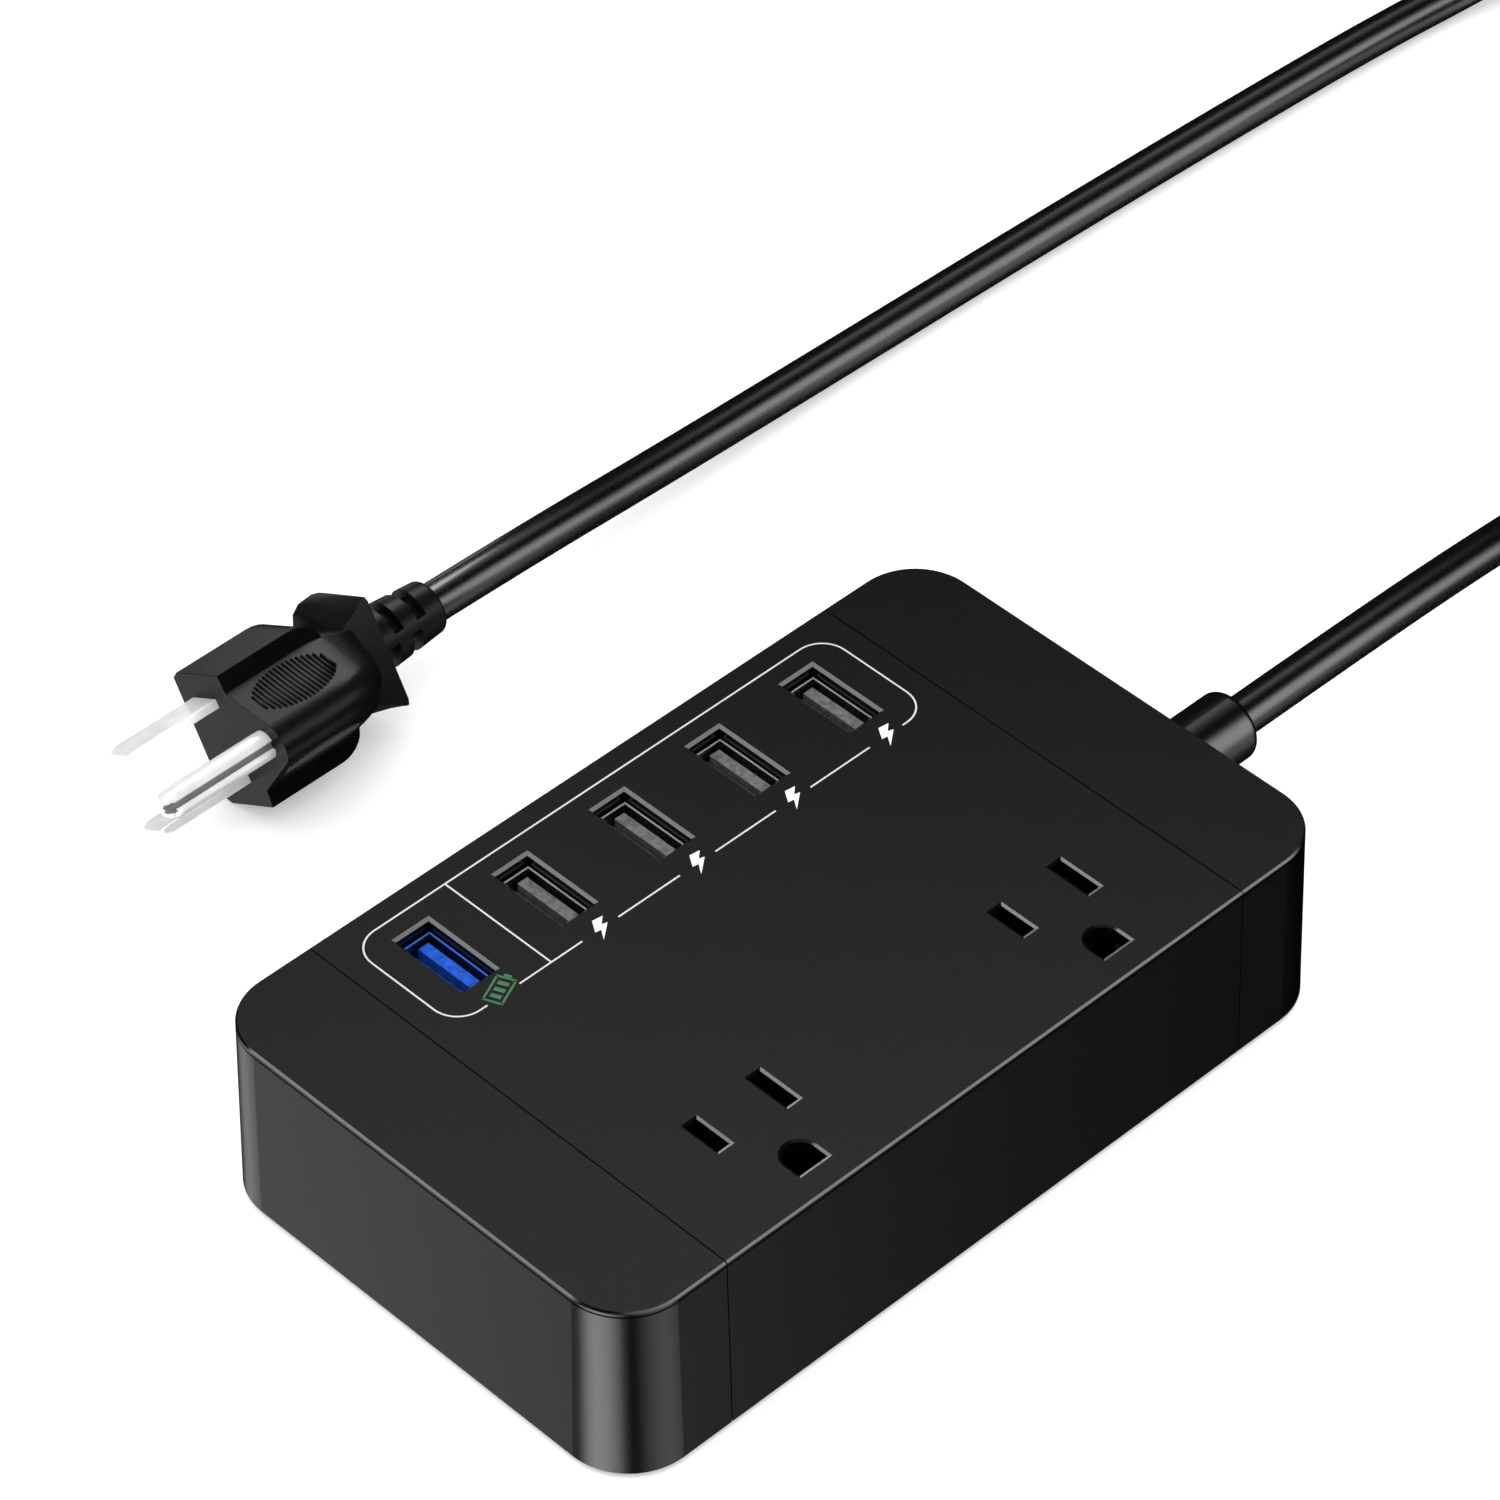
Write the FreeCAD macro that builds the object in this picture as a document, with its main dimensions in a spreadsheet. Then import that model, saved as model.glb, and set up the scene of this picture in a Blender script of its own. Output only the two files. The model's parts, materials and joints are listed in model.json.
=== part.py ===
"""Desk power strip: two grounded outlets, five USB-A ports and a corded plug.

+X runs along the casing to its cord end, +Y towards the USB row, +Z up.
The origin is on the surface that the strip stands on, under the casing's centre.
Every size is in millimetres. The driving dimensions are in the sheet "Dims".
"""
import FreeCAD
import Part
import Sketcher
import math
import os
import re

DOC = FreeCAD.newDocument("PowerStrip")
V = FreeCAD.Vector
PARTS = {}
FULL_TURN = 360

# ---------------------------------------------------------------- driving dimensions
DIMENSIONS = {
    # casing
    "body_length": 140.8, "body_width": 84.9, "body_height": 31.6, "draft": 1.235,
    "corner_radius": 10.15, "rim_bevel": 0.3, "foot_gap": 1.0, "wall": 2.2, "roof": 2.4,
    "seam_place": 51.05, "seam_gap": 0.2, "seam_depth": 0.6, "line_drop": 0.75, "line_gap": 0.3,
    "line_depth": 0.3,
    # outlets: slot centres 12.7 mm apart, ground 11.9 mm from their line
    "outlet_place": 30.0, "slot_line": -23.4, "slot_spacing": 12.7, "slot_width": 2.2,
    "slot_short": 6.6, "slot_tall": 7.6, "ground_flat": -37.8, "ground_width": 5.3, "ground_side": 2.7,
    "slot_bevel": 0.45, "slot_bevel_drop": 0.2,
    # USB ports
    "port_spacing": 19.1, "port_line": 27.9, "port_length": 14.0, "port_width": 6.2, "port_bevel": 0.45,
    "shell_length": 13.2, "shell_width": 5.7, "shell_sheet": 0.3, "shell_drop": 2.1,
    "tongue_length": 10.9, "tongue_width": 1.9, "tongue_drop": 2.6, "tongue_offset": 0.6, "tongue_root": 2.5,
    "contact_pitch": 2.3, "contact_width": 1.0, "contact_thick": 0.2, "contact_inset": 2.1,
    # base
    "base_thick": 2.2, "base_rise": 1.3, "base_slack": 0.3, "base_corner": 8.2,
    "foot_radius": 5.0, "foot_height": 2.1, "foot_x": 46.0, "foot_y": 29.0, "foot_sink": 0.8,
    "post_x": 60.0, "post_y": 31.0, "post_radius": 3.6, "screw_radius": 1.5, "screw_head": 3.0,
    "screw_length": 14.0, "head_height": 1.8, "cross_half": 2.0, "cross_width": 0.8, "cross_depth": 0.9,
    "base_ledge": 0.6, "usb_leg_radius": 2.5, "usb_leg_inset": 4.0, "main_leg_radius": 2.2, "main_leg_inset": 3.0,
    "pan_height": 1.2, "pan_slot": 0.5, "pan_slot_depth": 0.6,
    "small_screw": 0.9, "usb_screw_reach": 6.6, "main_screw_reach": 4.6,
    # brass contacts
    "strip_thick": 0.8, "clip_gap": 1.3, "clip_length": 7.0, "clip_top": 27.0, "neutral_level": 8.5,
    "ground_level": 10.0, "line_level": 12.0, "pin_distance": 11.9, "pin_gap": 4.6, "pin_clip": 5.4,
    "tray_half": 46.0, "tray_front": -39.5, "tray_back": -12.5, "tray_floor": 6.0, "tray_leg": 3.0,
    "line_left": -39.0, "line_right": 26.0, "line_front": -18.5, "line_back": -13.5,
    "neutral_left": -26.0, "neutral_right": 40.0,
    "ground_left": -34.0, "ground_right": 38.0, "ground_front": -38.2, "ground_back": -32.4,
    # boards
    "board_thick": 1.6, "usb_board_top": 16.9, "usb_board_length": 94.0, "usb_board_low": 15.6,
    "usb_board_high": 40.2, "main_board_top": 8.1, "main_board_left": -46.0, "main_board_right": 17.0,
    "main_board_front": -9.0, "main_board_back": 13.0,
    # what stands on the charger board
    "input_radius": 4.4, "input_height": 16.0, "input_x": -36.5, "output_radius": 3.6, "output_height": 12.0,
    "output_x": 7.0, "choke_ring": 2.7, "choke_wire": 1.3, "bridge_left": -31.0, "bridge_right": -25.5,
    "bridge_front": 3.0, "bridge_back": 10.5, "bridge_height": 3.0, "sink_left": -20.6, "sink_face": -19.0,
    "sink_right": -16.4, "sink_front": -6.5, "sink_back": 11.0, "sink_height": 15.0, "fin_thick": 1.2,
    "core_left": -13.5, "core_right": 1.5, "core_front": -6.5, "core_back": 10.5, "core_height": 14.0,
    "core_yoke": 3.0, "fuse_radius": 1.9, "fuse_length": 11.0, "fuse_x": 13.0,
    # cord, gland and clamp
    "cord_radius": 3.3, "cord_line": -4.2, "cord_level": 14.5, "gland_radius": 5.75, "gland_reach": 91.0,
    "gland_inside": 66.4, "flange_outside": 68.3, "flange_radius": 8.0, "gland_edge": 1.4,
    "lead_start": 50.0, "clamp_left": 56.5, "clamp_right": 62.5, "clamp_half": 10.5, "clamp_top": 20.0,
    "clamp_post": 2.8, "clamp_lip": 1.5, "clamp_screw": 1.2, "clamp_screw_reach": 8.0, "wire_radius": 1.1,
    "lead_radius": 0.7,
    # coil of the cord's spare length
    "coil_x": 296.0, "coil_y": 48.0, "coil_inner": 26.8, "coil_outer": 47.3, "coil_base": 0.8,
    "coil_top": 14.0, "coil_round": 3.0, "tie_width": 9.0, "tie_sheet": 0.8,
    # plug, in its own frame: X from the face to the cord, Y across the blades, Z to the ground pin
    "plug_x": -18.0, "plug_y": 102.0, "plug_z": 11.85, "plug_roll": 60.2,
    "blade_width": 6.35, "blade_thick": 1.52, "blade_reach": 17.0, "blade_spacing": 12.7, "blade_rise": 1.4,
    "pin_radius": 2.38, "pin_reach": 20.5, "pin_rise": 13.3, "metal_inside": 6.0,
    "wing_half": 11.4, "wing_low": -5.2, "wing_high": 7.6, "wing_length": 20.0,
    "block_foot": 8.2, "block_head": 4.3, "block_top": 18.4, "block_length": 21.0,
    "plug_flange_start": 22.0, "plug_flange_end": 29.0, "plug_flange_half": 10.0,
    "plug_flange_low": -5.0, "plug_flange_high": 8.0, "neck_radius": 5.6,
    "relief_end": 43.0, "relief_root": 5.2, "relief_tip": 4.2,
}

SHEET = DOC.addObject("Spreadsheet::Sheet", "Dims")
for row, (alias, number) in enumerate(DIMENSIONS.items(), start=1):
    SHEET.set(f"A{row}", alias)
    SHEET.set(f"B{row}", str(number))
    SHEET.setAlias(f"B{row}", alias)
DOC.recompute()


def linked(expression):
    """The expression with each alias written as a cell of the sheet."""
    return re.sub(r"[a-z][a-z_]+", lambda m: "Dims." + m.group() if m.group() in DIMENSIONS else m.group(),
                  str(expression))


def size(expression):
    """What an expression of aliases comes to, in millimetres."""
    return float(SHEET.evalExpression(linked(expression)))


def bind(thing, **expressions):
    """Ties properties of an object to the sheet."""
    for name, expression in expressions.items():
        thing.setExpression(name.replace("__", "."), linked(expression))
    return thing


def place(thing, x, y, z):
    return bind(thing, Placement__Base__x=x, Placement__Base__y=y, Placement__Base__z=z)


def sub_part(label, thing):
    """Names an object as one of the strip's pieces."""
    thing.Label = label
    PARTS[label] = thing
    return thing


# ---------------------------------------------------------------- Part primitives and booleans
def box(name, x_low, x_high, y_low, y_high, z_low, z_high):
    block = DOC.addObject("Part::Box", name)
    bind(block, Length=f"({x_high})-({x_low})", Width=f"({y_high})-({y_low})", Height=f"({z_high})-({z_low})")
    return place(block, x_low, y_low, z_low)


def cylinder(name, radius, x, y, z_low, z_high):
    """An upright cylinder."""
    round_bar = DOC.addObject("Part::Cylinder", name)
    bind(round_bar, Radius=radius, Height=f"({z_high})-({z_low})")
    return place(round_bar, x, y, z_low)


def bar_along(name, axis, radius, start, length):
    """A cylinder along X or Y from a start point."""
    round_bar = DOC.addObject("Part::Cylinder", name)
    turn = FreeCAD.Rotation(V(0, 1, 0), 90) if axis == "X" else FreeCAD.Rotation(V(1, 0, 0), -90)
    round_bar.Placement = FreeCAD.Placement(V(0, 0, 0), turn)
    bind(round_bar, Radius=radius, Height=length)
    return place(round_bar, *start)


def cone(name, low_radius, high_radius, x, y, z_low, z_high):
    taper = DOC.addObject("Part::Cone", name)
    bind(taper, Radius1=low_radius, Radius2=high_radius, Height=f"({z_high})-({z_low})")
    return place(taper, x, y, z_low)


def fuse(name, shapes):
    joined = DOC.addObject("Part::MultiFuse", name)
    joined.Shapes = shapes
    joined.Refine = True
    return joined


def cut(name, base, *tools):
    result = DOC.addObject("Part::Cut", name)
    result.Base = base
    result.Tool = tools[0] if len(tools) == 1 else fuse(name + "_tools", list(tools))
    result.Refine = True
    return result


def common(name, first, second):
    result = DOC.addObject("Part::Common", name)
    result.Base = first
    result.Tool = second
    return result


def group(name, shapes):
    """Separate solids kept in one piece, such as a set of screws."""
    bundle = DOC.addObject("Part::Compound", name)
    bundle.Links = shapes
    return bundle


# ---------------------------------------------------------------- PartDesign helpers
def new_body(name):
    return DOC.addObject("PartDesign::Body", name)


def new_sketch(body, name, role="XY_Plane", offset=0):
    sketch = body.newObject("Sketcher::SketchObject", name)
    plane = next(feature for feature in body.Origin.OriginFeatures if feature.Role == role)
    sketch.AttachmentSupport = (plane, [""])
    sketch.MapMode = "FlatFace"
    return bind(sketch, AttachmentOffset__Base__z=offset)


def limit(sketch, kind, line, point, expression):
    """Holds a point of the sketch at a signed distance from the sketch's origin."""
    constraint = Sketcher.Constraint(kind, -1, 1, line, point, size(expression))
    index = sketch.addConstraint(constraint)
    sketch.setExpression(f"Constraints[{index}]", linked(expression))


def draw_rectangle(sketch, x_low, x_high, y_low, y_high):
    left, right, front, back = (size(side) for side in (x_low, x_high, y_low, y_high))
    corners = [V(left, front, 0), V(right, front, 0), V(right, back, 0), V(left, back, 0)]
    first = sketch.GeometryCount
    for here, there in zip(corners, corners[1:] + corners[:1]):
        sketch.addGeometry(Part.LineSegment(here, there), False)
    for side in range(4):
        sketch.addConstraint(Sketcher.Constraint("Coincident", first + side, 2, first + (side + 1) % 4, 1))
        kind = "Horizontal" if side % 2 == 0 else "Vertical"
        sketch.addConstraint(Sketcher.Constraint(kind, first + side))
    limit(sketch, "DistanceX", first + 3, 1, x_low)
    limit(sketch, "DistanceX", first + 1, 1, x_high)
    limit(sketch, "DistanceY", first, 1, y_low)
    limit(sketch, "DistanceY", first + 2, 1, y_high)


def draw_rounded_rectangle(sketch, length, width, radius):
    """A rectangle with round corners, centred on the sketch's origin."""
    across, along, bend = size(length) / 2, size(width) / 2, size(radius)
    quarter = math.pi / 2
    centres = [(1, -1), (1, 1), (-1, 1), (-1, -1)]
    for corner, (sign_x, sign_y) in enumerate(centres):
        centre = V(sign_x * (across - bend), sign_y * (along - bend), 0)
        arc = Part.ArcOfCircle(Part.Circle(centre, V(0, 0, 1), bend), (corner - 1) * quarter, corner * quarter)
        sketch.addGeometry(arc, False)
    for corner in range(4):
        start = sketch.Geometry[corner].EndPoint
        end = sketch.Geometry[(corner + 1) % 4].StartPoint
        sketch.addGeometry(Part.LineSegment(start, end), False)
    for corner in range(4):
        line = 4 + corner
        sketch.addConstraint(Sketcher.Constraint("Tangent", corner, 2, line, 1))
        sketch.addConstraint(Sketcher.Constraint("Tangent", line, 2, (corner + 1) % 4, 1))
        kind = "Vertical" if corner % 2 == 0 else "Horizontal"
        sketch.addConstraint(Sketcher.Constraint(kind, line))
    for corner in range(3):
        sketch.addConstraint(Sketcher.Constraint("Equal", corner, corner + 1))
    radius_index = sketch.addConstraint(Sketcher.Constraint("Radius", 0, bend))
    sketch.setExpression(f"Constraints[{radius_index}]", linked(radius))
    limit(sketch, "DistanceX", 4, 1, f"({length})/2")
    limit(sketch, "DistanceX", 6, 1, f"-({length})/2")
    limit(sketch, "DistanceY", 5, 1, f"({width})/2")
    limit(sketch, "DistanceY", 7, 1, f"-({width})/2")


def draw_circle(sketch, x, y, radius):
    circle = sketch.addGeometry(Part.Circle(V(size(x), size(y), 0), V(0, 0, 1), size(radius)), False)
    index = sketch.addConstraint(Sketcher.Constraint("Radius", circle, size(radius)))
    sketch.setExpression(f"Constraints[{index}]", linked(radius))
    limit(sketch, "DistanceX", circle, 3, x)
    limit(sketch, "DistanceY", circle, 3, y)


def draw_outline(sketch, corners):
    """A closed outline of straight sides. Each corner is two expressions."""
    points = [V(size(x), size(y), 0) for x, y in corners]
    for here, there in zip(points, points[1:] + points[:1]):
        sketch.addGeometry(Part.LineSegment(here, there), False)
    for side, (x, y) in enumerate(corners):
        sketch.addConstraint(Sketcher.Constraint("Coincident", side, 2, (side + 1) % len(corners), 1))
        limit(sketch, "DistanceX", side, 1, x)
        limit(sketch, "DistanceY", side, 1, y)


def pad(body, sketch, length, taper=0, down=False):
    feature = body.newObject("PartDesign::Pad", sketch.Name + "_pad")
    feature.Profile = sketch
    feature.Reversed = down
    return bind(feature, Length=length, TaperAngle=taper)


def pocket(body, sketch, length, taper=0, up=False):
    """A pocket goes down from its sketch, or up from it."""
    before = volume_of(body)
    feature = body.newObject("PartDesign::Pocket", sketch.Name + "_pocket")
    feature.Profile = sketch
    feature.Reversed = up
    bind(feature, Length=length, TaperAngle=taper)
    if volume_of(body) >= before - 0.01:
        raise ValueError(f"{feature.Name} cuts nothing")
    return feature


def volume_of(body):
    DOC.recompute()
    return body.Shape.Volume


def revolved(name, profile, rise="0"):
    """A body of revolution about X, or about a line above X. The corners are (distance along X, radius)."""
    body = new_body(name)
    sketch = bind(new_sketch(body, name + "_profile", "XZ_Plane"), AttachmentOffset__Base__y=rise)
    draw_outline(sketch, profile)
    feature = body.newObject("PartDesign::Revolution", name + "_turn")
    feature.Profile = sketch
    feature.ReferenceAxis = (sketch, ["H_Axis"])
    feature.Angle = FULL_TURN
    return body


# ---------------------------------------------------------------- casing
TOP = "(foot_gap + body_height)"
CEILING = f"({TOP} - roof)"
CASE_FLOOR = "(base_rise + base_thick)"
OUTLETS = ("-outlet_place", "outlet_place")
PORTS = [f"{step} * port_spacing" for step in (-2, -1, 0, 1, 2)]
POSTS = [(x, y) for x in ("-post_x", "post_x") for y in ("-post_y", "post_y")]
SHELL_TOP = f"({TOP} - shell_drop)"


def edges_at(shape, wanted):
    """Names of the edges whose bounding box passes a test."""
    return [f"Edge{index}" for index, edge in enumerate(shape.Edges, start=1) if wanted(edge.BoundBox)]


def drafted_block(name, inset, top):
    """The casing's outside, or one that lies inset from it, from a level down to the casing's lower edge."""
    body = new_body(name)
    sketch = new_sketch(body, name + "_outline", offset=top)
    shrink = f"2 * ({inset})"
    draw_rounded_rectangle(sketch, f"body_length - {shrink}", f"body_width - {shrink}",
                           f"corner_radius - ({inset})")
    pad(body, sketch, f"{top} - foot_gap", "draft", down=True)
    return body


def flare(body, feature, name, wanted, **depths):
    """Bevels the upper edges of openings."""
    edges = edges_at(feature.Shape, wanted)
    bevel = body.newObject("PartDesign::Chamfer", name)
    bevel.Base = (feature, edges)
    bevel.ChamferType = "Two distances"
    bind(bevel, **depths)


def casing_form():
    """The whole casing as one shell, before it is divided at its seams."""
    body = drafted_block("casing_form", "0", TOP)
    DOC.recompute()
    level = size(TOP)
    block = body.Tip
    on_top = edges_at(block.Shape, lambda b: b.ZMin > level - 1e-6)
    rim = body.newObject("PartDesign::Chamfer", "rim_edge")
    rim.Base = (block, on_top)
    bind(rim, Size="rim_bevel")
    cavity = new_sketch(body, "cavity", offset=CEILING)
    draw_rounded_rectangle(cavity, "body_length - 2 * wall", "body_width - 2 * wall", "corner_radius - wall")
    pocket(body, cavity, "body_height - roof", "draft")
    posts = new_sketch(body, "posts", offset=CASE_FLOOR)
    for x, y in POSTS:
        draw_circle(posts, x, y, "post_radius")
    pad(body, posts, f"{CEILING} - {CASE_FLOOR}")
    openings = new_sketch(body, "openings", offset=TOP)
    for middle in OUTLETS:
        for side, height in (("-1", "slot_short"), ("1", "slot_tall")):
            slot = f"{middle} + {side} * slot_spacing / 2"
            draw_rectangle(openings, f"{slot} - slot_width / 2", f"{slot} + slot_width / 2",
                           f"slot_line - {height} / 2", f"slot_line + {height} / 2")
        draw_rectangle(openings, f"{middle} - ground_width / 2", f"{middle} + ground_width / 2",
                       "ground_flat", "ground_flat + ground_side")
    pocket(body, openings, "roof + 1")
    arches = new_sketch(body, "arches", offset=TOP)
    for middle in OUTLETS:
        draw_circle(arches, middle, "ground_flat + ground_side", "ground_width / 2")
    holes = pocket(body, arches, "roof + 1")
    slot_reach = size("slot_line + slot_tall")
    flare(body, holes, "slot_bevels", lambda b: b.ZMin > level - 1e-6 and b.YMax < slot_reach
          and b.DiagonalLength < 9, Size="slot_bevel", Size2="slot_bevel_drop")
    ports = new_sketch(body, "ports", offset=TOP)
    for middle in PORTS:
        draw_rectangle(ports, f"{middle} - port_width / 2", f"{middle} + port_width / 2",
                       "port_line - port_length / 2", "port_line + port_length / 2")
    mouths = pocket(body, ports, "roof + 1")
    row_front, row_back = size("port_line - port_length"), size("port_line + port_length")
    reach = size("3 * port_spacing")
    flare(body, mouths, "port_bevels", lambda b: b.ZMin > level - 1e-6 and b.YMin > row_front
          and b.YMax < row_back and abs(b.XMin) < reach, Size="port_bevel", Size2="port_bevel")
    return body


def casing():
    """The casing in its middle section and two end caps, with a fine groove where they meet.

    A shadow line runs round all three, close under the rim.
    """
    form = casing_form()
    for x, y in POSTS:
        pilot = cylinder("pilot", "screw_radius", x, y, "foot_gap", "base_rise + screw_length")
        form = cut("drilled", form, pilot)
    form = cut("casing_shell", form, bar_along("gland_hole", "X", "gland_radius",
                                               ("gland_inside", "cord_line", "cord_level"), "10"))
    belt = box("line_belt", "-body_length", "body_length", "-body_width", "body_width",
               f"{TOP} - line_drop - line_gap", f"{TOP} - line_drop")
    line_core = drafted_block("line_core", "line_depth", TOP)
    form = cut("casing_lined", form, cut("shadow_line", belt, line_core))
    core = drafted_block("seam_core", "seam_depth", f"({TOP} - seam_depth)")
    regions = {
        "casing_middle": ("-seam_place", "seam_place"),
        "end_cap_left": ("-body_length", "-seam_place"),
        "end_cap_right": ("seam_place", "body_length"),
    }
    for label, (low, high) in regions.items():
        region = box(label + "_region", low, high, "-body_width", "body_width", "0", f"{TOP} + 1")
        section = common(label + "_section", form, region)
        for side in ("-1", "1"):
            slab = box(label + "_slab", f"{side} * seam_place - seam_gap / 2", f"{side} * seam_place + seam_gap / 2",
                       "-body_width", "body_width", "0", f"{TOP} + 1")
            section = cut(label + "_grooved", section, cut(label + "_groove", slab, core))
        sub_part(label, section)


# ---------------------------------------------------------------- base, feet and screws
FEET = [(x, y) for x in ("-foot_x", "foot_x") for y in ("-foot_y", "foot_y")]
USB_LEGS = [(x, y) for x in ("-usb_board_length / 2 + usb_leg_inset", "usb_board_length / 2 - usb_leg_inset")
            for y in ("usb_board_low + usb_leg_inset", "usb_board_high - usb_leg_inset")]
MAIN_LEGS = [(x, y) for x in ("main_board_left + main_leg_inset", "main_board_right - main_leg_inset")
             for y in ("main_board_front + main_leg_inset", "main_board_back - main_leg_inset")]
CLAMP_MIDDLE = "(clamp_left + clamp_right) / 2"
CLAMP_SCREWS = ["cord_line - clamp_half + clamp_post", "cord_line + clamp_half - clamp_post"]


def base_cover():
    body = new_body("base_plate")
    outline = new_sketch(body, "base_outline", offset="base_rise")
    inset = "2 * (wall - base_ledge + base_slack)"
    draw_rounded_rectangle(outline, f"body_length - {inset}", f"body_width - {inset}", "base_corner")
    pad(body, outline, "base_thick")
    supports = [body]
    for x, y in USB_LEGS:
        supports.append(cylinder("usb_leg", "usb_leg_radius", x, y, "base_rise", "usb_board_top - board_thick"))
    for x, y in MAIN_LEGS:
        supports.append(cylinder("main_leg", "main_leg_radius", x, y, "base_rise",
                                 "main_board_top - board_thick"))
    for y in CLAMP_SCREWS:
        supports.append(cylinder("clamp_post", "clamp_post", CLAMP_MIDDLE, y, "base_rise", "cord_level - clamp_lip"))
    supports.append(box("cord_rest", "clamp_left", "clamp_right", "cord_line - cord_radius", "cord_line + cord_radius",
                        "base_rise", "cord_level - cord_radius"))
    holes = [cylinder("foot_recess", "foot_radius", x, y, "0", "base_rise + foot_sink") for x, y in FEET]
    for x, y in POSTS:
        holes.append(cylinder("screw_hole", "screw_radius", x, y, "0", "base_rise + base_thick"))
        holes.append(cone("screw_sink", "screw_head", "screw_radius", x, y, "base_rise", "base_rise + head_height"))
    holes += [cylinder("leg_pilot", "small_screw", x, y, "usb_board_top - usb_screw_reach", "usb_board_top")
              for x, y in USB_LEGS]
    holes += [cylinder("leg_pilot", "small_screw", x, y, "main_board_top - main_screw_reach", "main_board_top")
              for x, y in MAIN_LEGS]
    holes += [cylinder("clamp_pilot", "clamp_screw", CLAMP_MIDDLE, y, "cord_level - clamp_screw_reach", "cord_level")
              for y in CLAMP_SCREWS]
    sub_part("base_cover", cut("base_cover", fuse("base_supported", supports), *holes))


def rubber_feet():
    for number, (x, y) in enumerate(FEET, start=1):
        sub_part(f"rubber_foot_{number}", cylinder(f"foot_{number}", "foot_radius", x, y, "0", "foot_height"))


def base_screws():
    screws = []
    for x, y in POSTS:
        head = cone("screw_cone", "screw_head", "screw_radius", x, y, "base_rise", "base_rise + head_height")
        shank = cylinder("screw_shank", "screw_radius", x, y, "base_rise + head_height", "base_rise + screw_length")
        slot = box("screw_slot", f"{x} - cross_half", f"{x} + cross_half", f"{y} - cross_width / 2",
                   f"{y} + cross_width / 2", "base_rise", "base_rise + cross_depth")
        cross = box("screw_cross", f"{x} - cross_width / 2", f"{x} + cross_width / 2", f"{y} - cross_half",
                    f"{y} + cross_half", "base_rise", "base_rise + cross_depth")
        screws.append(cut("base_screw", fuse("base_screw_blank", [head, shank]), slot, cross))
    sub_part("base_screws", group("base_screws", screws))


def pan_head_screws(label, radius, places, low, seat):
    """A set of small round-headed screws, from their tips to their seats."""
    screws = []
    for x, y in places:
        head = cylinder("pan_head", f"2 * {radius}", x, y, seat, f"{seat} + pan_height")
        shank = cylinder("pan_shank", radius, x, y, low, seat)
        slot = box("pan_slot", f"{x} - 2 * {radius}", f"{x} + 2 * {radius}", f"{y} - pan_slot / 2",
                   f"{y} + pan_slot / 2", f"{seat} + pan_height - pan_slot_depth", f"{seat} + pan_height")
        screws.append(cut("pan_screw", fuse("pan_blank", [head, shank]), slot))
    sub_part(label, group(label, screws))


# ---------------------------------------------------------------- outlet contacts
LINE_SLOTS = [f"{middle} - slot_spacing / 2" for middle in OUTLETS]
NEUTRAL_SLOTS = [f"{middle} + slot_spacing / 2" for middle in OUTLETS]
PIN_LINE = "(slot_line - pin_distance)"


def contact_tray():
    """The insulating tray that carries the three brass strips under the outlets."""
    floor = box("tray_floor", "-tray_half", "tray_half", "tray_front", "tray_back", "tray_floor", "neutral_level")
    line_rib = box("line_rib", "line_left", "line_right", "line_front", "line_back", "tray_floor", "line_level")
    ground_rib = box("ground_rib", "ground_left", "-ground_left", "ground_front", "ground_back", "tray_floor",
                     "ground_level")
    legs = [box("tray_foot", x, f"{x} + tray_leg", "tray_front", "tray_back", CASE_FLOOR, "neutral_level")
            for x in ("-tray_half", "tray_half - tray_leg")]
    sub_part("contact_tray", fuse("contact_tray", [floor, line_rib, ground_rib] + legs))


def clip(x, y, level, gap, length):
    """Two upright brass leaves that grip a blade between them, on a foot."""
    leaves = []
    for side in ("-1", "1"):
        inner = f"{x} + {side} * ({gap}) / 2"
        outer = f"{x} + {side} * (({gap}) / 2 + strip_thick)"
        low, high = (outer, inner) if side == "-1" else (inner, outer)
        leaves.append(box("leaf", low, high, f"{y} - ({length}) / 2", f"{y} + ({length}) / 2", level, "clip_top"))
    foot = box("clip_foot", f"{x} - ({gap}) / 2 - strip_thick", f"{x} + ({gap}) / 2 + strip_thick",
               f"{y} - ({length}) / 2", f"{y} + ({length}) / 2", level, f"{level} + strip_thick")
    return leaves + [foot]


def bus_bars():
    line = [box("line_strip", "line_left", "line_right", "line_front", "line_back", "line_level",
                "line_level + strip_thick")]
    for x in LINE_SLOTS:
        line += clip(x, "slot_line", "line_level", "clip_gap", "clip_length")
        line.append(box("line_tab", f"{x} - clip_gap / 2 - strip_thick", f"{x} + clip_gap / 2 + strip_thick",
                        "slot_line", "line_front + 1", "line_level", "line_level + strip_thick"))
    sub_part("line_bus_bar", fuse("line_bus_bar", line))
    neutral = [box("neutral_strip", "neutral_left", "neutral_right", "slot_line - clip_length / 2",
                   "slot_line + clip_length / 2", "neutral_level", "neutral_level + strip_thick")]
    for x in NEUTRAL_SLOTS:
        neutral += clip(x, "slot_line", "neutral_level", "clip_gap", "clip_length")
    sub_part("neutral_bus_bar", fuse("neutral_bus_bar", neutral))
    ground = [box("ground_strip", "ground_left", "ground_right", "ground_front", "ground_back", "ground_level",
                  "ground_level + strip_thick")]
    for x in OUTLETS:
        ground += clip(x, PIN_LINE, "ground_level", "pin_gap", "pin_clip")
    sub_part("ground_bus_bar", fuse("ground_bus_bar", ground))


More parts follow.
